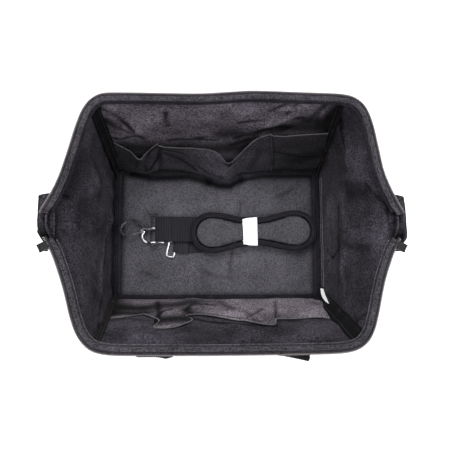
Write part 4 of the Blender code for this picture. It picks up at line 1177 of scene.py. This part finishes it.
front_pocket_columns = [
    [(-0.203, -0.128, 0.016), (-0.200, -0.133, 0.045), (-0.195, -0.142, 0.095), (-0.189, -0.150, 0.138)],
    [(-0.185, -0.128, 0.016), (-0.184, -0.133, 0.046), (-0.177, -0.142, 0.094), (-0.169, -0.150, 0.140)],
    [(-0.150, -0.129, 0.016), (-0.148, -0.133, 0.046), (-0.143, -0.141, 0.088), (-0.138, -0.147, 0.123)],
    [(-0.131, -0.129, 0.016), (-0.129, -0.134, 0.046), (-0.125, -0.141, 0.091), (-0.120, -0.149, 0.135)],
    [(-0.114, -0.129, 0.016), (-0.112, -0.134, 0.050), (-0.108, -0.144, 0.103), (-0.103, -0.153, 0.156)],
    [(-0.125, -0.129, 0.016), (-0.122, -0.137, 0.062), (-0.113, -0.152, 0.140), (-0.109, -0.160, 0.182)],
    [(-0.108, -0.129, 0.016), (-0.105, -0.139, 0.072), (-0.099, -0.152, 0.145), (-0.094, -0.161, 0.190)],
    [(-0.086, -0.129, 0.016), (-0.084, -0.137, 0.065), (-0.080, -0.150, 0.138), (-0.076, -0.160, 0.185)],
    [(-0.065, -0.129, 0.016), (-0.065, -0.133, 0.048), (-0.062, -0.147, 0.122), (-0.060, -0.157, 0.172)],
    [(-0.052, -0.129, 0.016), (-0.051, -0.130, 0.044), (-0.051, -0.141, 0.096), (-0.049, -0.153, 0.150)],
    [(-0.063, -0.129, 0.016), (-0.063, -0.129, 0.042), (-0.061, -0.139, 0.090), (-0.060, -0.149, 0.132)],
    [(-0.036, -0.129, 0.016), (-0.036, -0.130, 0.040), (-0.036, -0.139, 0.086), (-0.036, -0.147, 0.127)],
    [(0.017, -0.129, 0.016), (0.016, -0.134, 0.052), (0.013, -0.143, 0.104), (0.009, -0.152, 0.150)],
    [(0.080, -0.129, 0.016), (0.076, -0.134, 0.052), (0.067, -0.146, 0.118), (0.059, -0.157, 0.174)],
    [(0.107, -0.129, 0.016), (0.105, -0.134, 0.050), (0.093, -0.147, 0.119), (0.082, -0.158, 0.180)],
    [(0.113, -0.129, 0.016), (0.110, -0.132, 0.047), (0.100, -0.144, 0.107), (0.090, -0.153, 0.156)],
    [(0.140, -0.129, 0.016), (0.139, -0.132, 0.044), (0.125, -0.144, 0.108), (0.114, -0.153, 0.157)],
    [(0.190, -0.129, 0.016), (0.187, -0.133, 0.050), (0.172, -0.143, 0.108), (0.159, -0.152, 0.150)],
    [(0.203, -0.128, 0.016), (0.201, -0.134, 0.055), (0.190, -0.146, 0.110), (0.180, -0.155, 0.150)],
]
# Deep places of the pockets: the shadow at the belly's foot, the pleats, and the slack left end.
pocket_shade = {
    "rear": [
        (
            [
                (-0.178, 0.124, 0.020),
                (-0.110, 0.122, 0.022),
                (-0.030, 0.112, 0.022),
                (0.030, 0.112, 0.022),
            ],
            0.0110,
            0.90,
        ),
        ([(-0.112, 0.130, 0.045), (-0.108, 0.142, 0.105), (-0.106, 0.147, 0.130)], 0.0036, 0.85),
        ([(-0.160, 0.120, 0.040), (-0.150, 0.128, 0.090)], 0.0030, 0.60),
        ([(0.104, 0.132, 0.050), (0.094, 0.146, 0.118), (0.084, 0.156, 0.165)], 0.0034, 0.85),
        ([(0.060, 0.130, 0.040), (0.070, 0.145, 0.110)], 0.0080, 0.45),
        ([(0.150, 0.138, 0.080), (0.190, 0.145, 0.120)], 0.0220, 0.50),
        ([(0.110, 0.130, 0.020), (0.195, 0.130, 0.020)], 0.0120, 0.70),
        (
            [
                (-0.108, 0.148, 0.130),
                (-0.126, 0.140, 0.113),
                (-0.140, 0.128, 0.080),
                (-0.139, 0.117, 0.050),
            ],
            0.0030,
            0.80,
        ),
        ([(-0.106, 0.147, 0.128), (-0.115, 0.136, 0.079), (-0.133, 0.119, 0.050)], 0.0030, 0.85),
        (
            [
                (-0.103, 0.142, 0.119),
                (-0.070, 0.140, 0.101),
                (-0.037, 0.121, 0.063),
                (0.005, 0.103, 0.060),
            ],
            0.0030,
            0.60,
        ),
        ([(-0.100, 0.139, 0.102), (-0.066, 0.132, 0.066), (-0.045, 0.120, 0.050)], 0.0036, 0.75),
        ([(0.098, 0.141, 0.111), (0.149, 0.138, 0.091), (0.195, 0.137, 0.093)], 0.0028, 0.75),
        ([(0.008, 0.128, 0.087), (0.017, 0.121, 0.083), (0.024, 0.127, 0.090)], 0.0030, 0.80),
    ],
    "front": [
        ([(-0.203, -0.128, 0.030), (-0.190, -0.146, 0.120)], 0.0200, 0.80),
        ([(-0.195, -0.138, 0.080), (-0.135, -0.140, 0.090)], 0.0260, 0.90),
        ([(-0.185, -0.146, 0.118), (-0.125, -0.146, 0.118)], 0.0130, 0.80),
        ([(-0.115, -0.134, 0.050), (-0.105, -0.150, 0.140)], 0.0050, 0.90),
        ([(-0.110, -0.138, 0.070), (-0.050, -0.136, 0.060)], 0.0240, 0.78),
        ([(-0.112, -0.153, 0.155), (-0.062, -0.153, 0.150)], 0.0220, 0.90),
        (
            [
                (-0.107, -0.156, 0.168),
                (-0.107, -0.147, 0.135),
                (-0.101, -0.142, 0.103),
                (-0.086, -0.140, 0.092),
            ],
            0.0035,
            0.90,
        ),
        ([(-0.061, -0.142, 0.110), (-0.051, -0.133, 0.073), (-0.009, -0.135, 0.076)], 0.0040, 0.70),
        ([(0.040, -0.150, 0.150), (0.047, -0.147, 0.142), (0.073, -0.140, 0.100)], 0.0035, 0.60),
        ([(0.000, -0.134, 0.052), (0.020, -0.143, 0.100)], 0.0090, 0.55),
        ([(0.040, -0.146, 0.110), (0.055, -0.156, 0.165)], 0.0070, 0.45),
        ([(-0.060, -0.140, 0.100), (-0.050, -0.150, 0.135)], 0.0120, 0.85),
        ([(-0.040, -0.146, 0.118), (0.010, -0.150, 0.140), (0.060, -0.155, 0.165)], 0.0040, 0.60),
        ([(0.106, -0.134, 0.050), (0.090, -0.152, 0.150)], 0.0034, 0.80),
        ([(-0.050, -0.130, 0.022), (0.190, -0.130, 0.022)], 0.0070, 0.75),
    ],
}
for face, columns, divider in (("rear", rear_pocket_columns, 12), ("front", front_pocket_columns, 15)):
    out, across, up = face_out[face], 6, 9
    rows = patch([[column[r] for column in columns] for r in range(4)], across, up)
    for r, row in enumerate(rows):
        hold = min(1, r / 4)
        for point in row:
            fine = noise.noise(Vector((point.x * 42, point.z * 24, 1.7))) * 0.0016
            fine += noise.noise(Vector((point.x * 110, point.z * 60, 5.1))) * 0.0006
            point.y -= out * (fine + 0.0020) * hold
    sheet = thicken(net(face + "_pocket_cloth", rows), 0.0010, 1)
    give(sheet, front_pocket_painted_light if face == "front" else pocket_cloth)
    paint_shade_marks(sheet, pocket_shade[face])
    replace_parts(sewn_between(sheet), face + "_pocket")
    edge = tube(face + "_pocket_binding", rows[-1], lambda i: oval(0.0014, 0.0030, 8), hold=(0, 0, 1))
    sewn_between(give(edge, pocket_edge_painted_highlight))
    seam = [row[divider * across] - Vector((0, out * 0.0012, 0)) for row in rows]
    sewn_between(
        stitches(face + "_pocket_divider", seam, 0.0032, 0.0024, 0.00035, up=(0, -out, 0.4))
    )

# BLANK LABEL
# A small bare white satin label is sewn in the front corner of the right end.
# It curls forward at its foot, and carries nothing.
satin_painted_glow, body = shaded("label_satin_painted_glow", 0.45, 0.4, sheen=0.2)
body.inputs["Base Color"].default_value = (0.90, 0.90, 0.89, 1)
# The label glows a little, though it is no lamp: painted light.
body.inputs["Emission Color"].default_value = (1, 1, 1, 1)
body.inputs["Emission Strength"].default_value = 0.30
place = add_node(satin_painted_glow, "TexCoord")
ribs = placed(satin_painted_glow, place, "TexWave", bands_direction="Z", Scale=900.0)
relief(satin_painted_glow, (ribs, "Fac"), 0.15, 0.0002, body)
label_line = [
    (0.1991, -0.1081, 0.0400),
    (0.1961, -0.1191, 0.0600),
    (0.1957, -0.1277, 0.0800),
    (0.1989, -0.1328, 0.0940),
]
label_widths = [0.0090, 0.0135, 0.0125, 0.0080]
spine = soften([Vector(p) for p in label_line], 8)
rows = []
for i, point in enumerate(spine):
    share = i / (len(spine) - 1) * (len(label_widths) - 1)
    k = min(int(share), len(label_widths) - 2)
    half = (label_widths[k] + (label_widths[k + 1] - label_widths[k]) * (share - k)) / 2
    across = Vector((-0.80, 0.12, 0.55)).normalized()
    rows.append([point + across * (half * (c / 4 - 1) * 0.9) for c in range(9)])
label_piece = thicken(net("label_ribbon", rows), 0.0005, 1)
give(label_piece, satin_painted_glow)
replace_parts(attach(label_piece, "bag_body"), "blank_label")

# HANDLES
# Two strips of polyester webbing run up the outside of each long wall and carry a loop.
# The middle of the loop is folded double for the grip. The front right leg has twisted outwards.
webbing_cloth, body = shaded("strap_webbing_polyester", 0.75, 0.10, sheen=0.06)
tree = webbing_cloth.node_tree
place = add_node(webbing_cloth, "TexCoord")
grain = placed(webbing_cloth, place, "TexNoise", Scale=650.0, Detail=2.0)
level = None
for axis, scale in (("X", 62.0), ("Y", 150.0), ("Z", 110.0)):
    wave = placed(webbing_cloth, place, "TexWave", bands_direction=axis, Scale=scale, Distortion=0.35)
    level = combine(tree, "ADD", level, (wave, "Fac")) if level else (wave, "Fac")
relief(webbing_cloth, level, 0.5, 0.0006, body)
ribbed = combine(tree, "MULTIPLY", level, 0.18)
speck = combine(tree, "ADD", ribbed, combine(tree, "MULTIPLY", (grain, "Fac"), 0.5))
tones = ramp(webbing_cloth, speck, (0.0050, 0.0048, 0.0062), (0.027, 0.0260, 0.0315), 0.25, 0.80)
link_nodes(tree, tones, "Color", body, "Base Color")

# The handles get a darker copy of the strap webbing: painted shade against the light that falls on them
# outside the bag.
handle_webbing_painted_shade = webbing_cloth.copy()
handle_webbing_painted_shade.name = "handle_webbing_polyester_painted_shade"
handle_shade_tones = handle_webbing_painted_shade.node_tree.nodes[tones.name].color_ramp.elements
handle_shade_tones[0].color = (0.0014, 0.0013, 0.0016, 1)
handle_shade_tones[1].color = (0.0060, 0.0057, 0.0068, 1)


def webbing(name, path, width, thickness, across):
    """Flat webbing along a path. Across, width and thickness are one value, or one a point."""
    rows = []
    for i, point in enumerate(path):
        before, after = path[max(0, i - 1)], path[min(len(path) - 1, i + 1)]
        along = (after - before).normalized()
        side = Vector(across(i) if callable(across) else across)
        side = (side - along * side.dot(along)).normalized()
        up = side.cross(along).normalized()
        w = width(i) if callable(width) else width
        t = thickness(i) if callable(thickness) else thickness
        outline = [(-0.5, -0.22), (-0.485, -0.5)]
        outline += [(s, -0.5) for s in (-0.46, -0.3, -0.15, 0.0, 0.15, 0.3, 0.46)]
        outline += [(0.485, -0.5), (0.5, -0.22), (0.5, 0.22), (0.485, 0.5)]
        outline += [(s, 0.5) for s in (0.46, 0.3, 0.15, 0.0, -0.15, -0.3, -0.46)]
        outline += [(-0.485, 0.5), (-0.5, 0.22)]
        rows.append([point + side * (a * w) + up * (b * t) for a, b in outline])
    return give(net(name, rows, wrap=True, caps=True, sharp=60), webbing_cloth)


handle_x, handle_width = 0.0985, 0.050
strip_low, strip_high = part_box("front_left_handle_strip")
for face, out in face_out.items():
    for side, sign in side_out.items():
        path = []
        for k in range(31):
            share = k / 30
            z = strip_low.z + (strip_high.z - strip_low.z) * share
            y = 0.1340 + (0.1802 - 0.1340) * share + 0.0006 * math.sin(9 * share + sign)
            path.append(Vector((sign * handle_x, out * y, z)))
        strip = webbing(face + "_" + side + "_handle_webbing", path, handle_width, 0.0020, (1, 0, 0))
        give(strip, handle_webbing_painted_shade)
        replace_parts(sewn_between(strip), face + "_" + side + "_handle_strip")
        for number, inset in enumerate((-0.0225, 0.0225)):
            row = [p + Vector((inset, out * 0.0012, 0)) for p in path]
            row = stitches(
                "{}_{}_handle_seam_{}".format(face, side, number),
                row,
                0.0036,
                0.0027,
                0.0003,
                up=(0, out, 0),
            )
            sewn_between(row)
    low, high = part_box(face + "_handle_loop")
    middle_y = (low.y + high.y) / 2
    sunk = 0.0095 if face == "front" else 0.0190
    top, drop = high.z - sunk, high.z - low.z - sunk
    points = [
        (1.0, 0.0), (1.0, 0.06), (1.0, 0.13), (1.0, 0.20), (0.99, 0.30), (0.955, 0.45), (0.88, 0.60),
        (0.76, 0.74), (0.60, 0.84), (0.40, 0.89), (0.20, 0.905), (0.0, 0.91),
    ]
    right = [(x * handle_x, top - z * drop) for x, z in points]
    line = [(x, middle_y, z) for x, z in right] + [(-x, middle_y, z) for x, z in right[-2::-1]]
    line[0] = (line[0][0], middle_y - out * 0.0085, line[0][2] - 0.0015)
    line[-1] = (line[-1][0], middle_y - out * 0.0085, line[-1][2] - 0.0015)
    path = stepped_path(line, 0.003)
    folded, twist = [], []
    for i, point in enumerate(path):
        share = min(i, len(path) - 1 - i) / (len(path) / 2)
        grip = max(0, min(1, (share - 0.16) / 0.34))
        folded.append(grip * grip * (3 - 2 * grip))
        near = math.exp(-(((share - 0.11) / 0.10) ** 2)) if face == "front" else 0.0
        twist.append(near if point.x > 0 else 0.0)
        point.y += out * (0.0018 * near if point.x > 0 else -0.0026 * near)
        point.x -= 0.0050 * near if point.x > 0 else 0.0

    def leg_side(i):
        before, after = path[max(0, i - 1)], path[min(len(path) - 1, i + 1)]
        flat = (after - before).normalized().cross(Vector((0, 1, 0)))
        return flat + Vector((0, out * 0.28 * twist[i], 0))

    loop = webbing(
        face + "_handle_webbing_loop",
        path,
        lambda i: handle_width + (0.0265 - handle_width) * folded[i],
        lambda i: 0.0022 + 0.0026 * folded[i],
        leg_side,
    )
    give(loop, handle_webbing_painted_shade)
    for vertex in loop.data.vertices:
        nub = 0.0
        if vertex.co.z > 0.246 and face == "front":
            nub = math.exp(-(((vertex.co.x + 0.084) / 0.007) ** 2))
        vertex.co.y -= 0.0026 * nub
    # The ends are named in the order in which a half turn swings outwards, away from the wall.
    ends = [(face + "_frame", (0, middle_y, top)), (face + "_handle", (0, middle_y, top - 0.032))]
    (first, start), (second, end) = ends if face == "rear" else ends[::-1]
    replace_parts(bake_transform(loop), face + "_handle_loop")

# D-RINGS AND TABS
# A webbing tab is sewn to each end and folded round the straight side of a steel D-ring.
# The strap's hooks clip in here. The ring keeps the solid's own shape.
for side, sign in side_out.items():
    low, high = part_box(side + "_ring_tab")
    inner = min(abs(low.x), abs(high.x)) + 0.0011
    outer = max(abs(low.x), abs(high.x)) - 0.0011
    bend = (outer - inner) / 2
    line = [
        (sign * inner, 0, high.z),
        (sign * inner, 0, high.z - 0.012),
        (sign * inner, 0, low.z + bend + 0.004),
    ]
    for k in range(9):
        angle = math.pi + math.pi * k / 8
        out, down = bend * math.cos(angle), bend * math.sin(angle)
        line.append((sign * (inner + bend + out), 0, low.z + bend + 0.0011 + down))
    line += [
        (sign * outer, 0, high.z - 0.024),
        (sign * (outer - 0.0012), 0, high.z - 0.010),
        (sign * (inner + 0.0024), 0, high.z),
    ]
    tab = webbing(side + "_ring_webbing", stepped_path(line, 0.0018), 0.0375, 0.0020, (0, 1, 0))
    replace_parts(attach(tab, "bag_body"), side + "_ring_tab")
    for number, z in enumerate((high.z - 0.006, high.z - 0.013)):
        x = sign * (outer + 0.0009 - (0.0012 if number == 0 else 0))
        row = [Vector((x, y, z)) for y in (-0.016, 0, 0.016)]
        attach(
            stitches(
                side + "_ring_stitches_" + str(number), row, 0.0034, 0.0026, 0.0003, up=(sign, 0, 0)
            ),
            "bag_body",
        )

# METALWORK
# Rings, hooks, sliders and pullers keep the solids' own shape, in cast and painted metal.
# Wear brightens them in patches, and a fine grain roughens their faces.
def refinish(made, *names):
    for name in names:
        for slot in nodes[name].material_slots:
            slot.material = made


black_nickel = cast_metal(
    "black_nickel", (0.030, 0.031, 0.036), (0.120, 0.122, 0.134), 0.30, metallic=0.7
)
bright_zinc = cast_metal("bright_zinc", (0.60, 0.60, 0.62), (0.90, 0.90, 0.92), 0.34)
painted_zinc = cast_metal(
    "painted_zinc", (0.006, 0.006, 0.007), (0.018, 0.017, 0.019), 0.50, metallic=0.0
)
painted_zinc.node_tree.nodes["Principled BSDF"].inputs["Specular IOR Level"].default_value = 0.12
refinish(black_nickel, "first_strap_ring", "first_snap_hook", "first_hook_gate", "adjuster_slide")
refinish(bright_zinc, "second_strap_ring", "second_snap_hook", "second_hook_gate")
refinish(black_nickel, "left_d_ring", "right_d_ring")
refinish(painted_zinc, "left_zip_slider", "right_zip_slider", "left_zip_puller", "right_zip_puller")

# SHOULDER PAD
# A peanut-shaped pad, soft and a little swollen, covered in charcoal cloth.
# Cloth pressure rounds it, and the bound edge holds it in.
pad_low, pad_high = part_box("shoulder_pad")
bound_low, bound_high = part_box("pad_binding")
pad_centre = Vector(((bound_low.x + bound_high.x) / 2, (bound_low.y + bound_high.y) / 2, 0))
pad_turn = Matrix.Rotation(math.radians(1.6), 4, "Z")
pad_half, lobe_half, waist_half = 0.123, 0.0395, 0.0260


def pad_half_width(x):
    """Half the width of the pad at x: two round lobes with a waist between them."""
    share = abs(x) / pad_half
    lobe = 0.66
    wave = 0.5 - 0.5 * math.cos(math.pi * min(1, share / lobe))
    width = waist_half + (lobe_half - waist_half) * wave
    if share > lobe:
        width *= math.sqrt(max(0, 1 - ((share - lobe) / (1 - lobe)) ** 2.2))
    return width


def pad_edge(inset, spacing=0.004):
    """The pad's outline drawn in, set on its place in the bag."""
    corners = []
    for k in range(72):
        x = pad_half * math.cos(math.tau * k / 72)
        corners.append(Vector((x, pad_half_width(x) * (1 if k < 36 else -1), 0)))
    smooth = stepped_path(corners, spacing, closed=True)
    made = []
    for k, point in enumerate(smooth):
        along = (smooth[(k + 1) % len(smooth)] - smooth[k - 1]).normalized()
        made.append(pad_turn @ (point + Vector((-along.y, along.x, 0)) * inset) + pad_centre)
    return made


pad_cloth = woven_cloth("pad_lining", (0.028, 0.0276, 0.032), (0.082, 0.081, 0.091), 0.0006, 0.7)
rows = []
for inset, share in (
    (0.030, 0.04),
    (0.016, 0.0),
    (0.0105, 0.15),
    (0.0090, 0.5),
    (0.0105, 0.8),
    (0.016, 0.95),
    (0.030, 1.0),
):
    z = pad_low.z + (pad_high.z - pad_low.z) * share
    inner = pad_edge(min(inset, 0.018))
    if inset > 0.018:
        inner = [pad_centre + (p - pad_centre) * 0.55 for p in inner]
    rows.append([Vector((p.x, p.y, z)) for p in inner])
pad_piece = net("pad_cover", rows, wrap=True, caps=True)
voxel = pad_piece.modifiers.new("Even", "REMESH")
voxel.mode = "VOXEL"
voxel.voxel_size = 0.004
settle_shape(pad_piece)
start = [v.co.copy() for v in pad_piece.data.vertices]
cover = pad_piece.modifiers.new("Swell", "CLOTH")
cover.settings.use_pressure = True
cover.settings.uniform_pressure_force = 4.0
cover.settings.effector_weights.gravity = 0.0
cover.settings.mass = 0.25
cover.settings.quality = 6
for step in range(1, 21):
    bpy.context.scene.frame_set(step)
graph = bpy.context.evaluated_depsgraph_get()
swollen = [v.co.copy() for v in pad_piece.evaluated_get(graph).data.vertices]
pad_piece.modifiers.remove(cover)
bpy.context.scene.frame_set(1)
most = 0.0024
for vertex, before, after in zip(pad_piece.data.vertices, start, swollen):
    move = after - before
    free = most * (0.15 + 0.85 * min(1, abs(before.x - pad_centre.x) / 0.036))
    if move.length > free:
        move = move.normalized() * free
    vertex.co = before + move
    vertex.co.z = max(pad_low.z, vertex.co.z)
    dimple = noise.noise(vertex.co * 55) * 0.0005
    vertex.co.z += dimple if vertex.co.z > pad_low.z + 0.006 else 0.0
smoother = pad_piece.modifiers.new("Even", "SMOOTH")
smoother.iterations = 4
soft = pad_piece.modifiers.new("Soft", "SUBSURF")
soft.levels = soft.render_levels = 1
give(settle_shape(pad_piece), pad_cloth)
for face in pad_piece.data.polygons:
    face.use_smooth = True
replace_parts(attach(pad_piece, "shoulder_strap"), "shoulder_pad")

# PAD BINDING
# A broad black tape is folded over the pad's edge and sewn through, all the way round.
# It ripples a little.
edge = [Vector((p.x, p.y, 0)) for p in pad_edge(0.0048, 0.003)]
middle_z = (bound_low.z + bound_high.z) / 2 + 0.0003
ripple = [noise.noise(p * 70) for p in edge]
path = [p + Vector((0, 0, middle_z + 0.0004 * r)) for p, r in zip(edge, ripple)]
binding_ring = tube(
    "pad_edge_tape",
    path,
    lambda i: oval(0.0102 + 0.0008 * ripple[i], 0.0098, 16, 0.8),
    closed=True,
)
give(binding_ring, binding_tape)
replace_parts(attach(binding_ring, "shoulder_strap"), "pad_binding")
row = [Vector((p.x, p.y, bound_high.z + 0.0003)) for p in pad_edge(0.0076, 0.003)]
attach(stitches("pad_stitches", row + row[:1], 0.0034, 0.0025, 0.00028), "shoulder_strap")

# PAPER BAND
# A strip of plain white paper is wrapped round the waist of the pad and glued underneath.
# It has slight creases, and nothing is printed on it.
paper_painted_glow, body = shaded("plain_paper_painted_glow", 0.75, 0.25)
body.inputs["Base Color"].default_value = (0.86, 0.86, 0.86, 1)
# The paper glows a little, though it is no lamp: painted light.
body.inputs["Emission Color"].default_value = (1, 1, 1, 1)
body.inputs["Emission Strength"].default_value = 0.12
place = add_node(paper_painted_glow, "TexCoord")
crease = placed(paper_painted_glow, place, "TexNoise", Scale=120.0, Detail=3.0)
relief(paper_painted_glow, (crease, "Fac"), 0.2, 0.0005, body)
paper_low, paper_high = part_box("paper_band")
paper_middle = (paper_low + paper_high) / 2
half_y = 0.0270
half_z = (paper_high.z - paper_low.z) / 2
rows = []
for c in range(15):
    x = (c / 14 - 0.5) * 0.0278
    flare = 0.0010 * (x / 0.0146)
    row = []
    for k in range(40):
        angle = math.tau * k / 40
        a, b = math.cos(angle), math.sin(angle)
        y = (half_y + flare) * math.copysign(abs(a) ** 0.35, a)
        z = half_z * math.copysign(abs(b) ** 0.35, b)
        bump = 0.0020 * (1 - (y / half_y) ** 4) * (1 if b > 0 else 0)
        edge_x = x + 0.0007 * noise.noise(Vector((y * 60, x * 40, 2.2)))
        lifted = Vector((paper_middle.x, paper_middle.y, paper_middle.z + z + bump))
        row.append(pad_turn @ Vector((edge_x, y, 0)) + lifted)
    rows.append(row)
band = net("paper_wrap", rows, wrap=True)
band.modifiers.new("Paper", "SOLIDIFY").thickness = 0.0004
give(settle_shape(band), paper_painted_glow)
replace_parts(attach(band, "shoulder_strap"), "paper_band")

# STRAP WEBBING
# The strap's webbing wraps the first ring, runs under the pad, and lies folded in layers.
# A second end with the other hook comes out lower down. Both are sewn back on themselves.
board_top = board_high.z
layer, bend, strap_y = 0.0054, 0.0034, 0.007
top_run = board_top + 0.0014 + 3 * layer


def turn_back(x, z, radius, way):
    """Half a turn from the upper run down to the lower one, round the left or the right side."""
    made = []
    for k in range(9):
        angle = math.pi / 2 + way * math.pi * k / 8
        made.append(Vector((x + radius * math.cos(angle), 0, z + radius * math.sin(angle))))
    return made


line = [Vector((-0.098, 0, top_run - 2 * bend)), Vector((-0.108, 0, top_run - 2 * bend - 0.0002))]
line += turn_back(-0.120, top_run - bend, bend, 1)[::-1]
line += [
    Vector((x, 0, top_run + 0.0004 * math.sin(x * 160)))
    for x in (-0.105, -0.085, -0.060, -0.030, 0.02, 0.08, 0.14)
]
line += turn_back(0.150, top_run - layer / 2, layer / 2, -1)
line += turn_back(-0.030, top_run - 1.5 * layer, layer / 2, 1)
line += [Vector((0.06, 0, top_run - 2 * layer)), Vector((0.146, 0, top_run - 2 * layer - 0.0024))]
line += [
    Vector((0.166 + shift * 0.0088, 0, top_run - 2 * layer + rise * 0.0026))
    for shift, rise in ((-1.1, -1), (-0.7, -1), (-0.2, 1), (0.2, 1), (0.7, -1), (1, -1), (1.5, -1))
]
line = [p + Vector((0, strap_y, 0)) for p in line]
strap_path = stepped_path(line, 0.0022)
strap = webbing("strap_webbing_run", strap_path, 0.0490, 0.0020, (0, 1, 0))
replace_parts(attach(strap, "shoulder_strap"), "strap_webbing")
ring_turn = Matrix.Translation((-0.082, -0.018, 0)) @ Matrix.Rotation(math.radians(-13), 4, "Z")
low_run = board_top + 0.0014
line = [Vector((0.067, 0, low_run)), Vector((0.045, 0, low_run)), Vector((0.022, 0, low_run))]
line += turn_back(0, low_run + bend, bend, 1)[::-1]
line += [Vector((0.010, 0, low_run + 2 * bend)), Vector((0.0215, 0, low_run + 2 * bend - 0.0006))]
line = [p + Vector((0, 0.0022 + 0.16 * max(0, p.x) + 1.8 * max(0, p.x) ** 2, 0)) for p in line]
tail_path = [ring_turn @ p for p in stepped_path(line, 0.0022)]
tail = webbing("strap_webbing_tail", tail_path, 0.0450, 0.0020, ring_turn.to_3x3() @ Vector((0, 1, 0)))
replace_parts(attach(tail, "shoulder_strap"), "strap_tail")
for number, x in enumerate((-0.096, -0.101)):
    row = [Vector((x, strap_y + y, top_run + 0.0012)) for y in (-0.021, 0.0, 0.021)]
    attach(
        stitches("strap_cross_stitches_" + str(number), row, 0.0032, 0.0025, 0.0003),
        "shoulder_strap",
    )
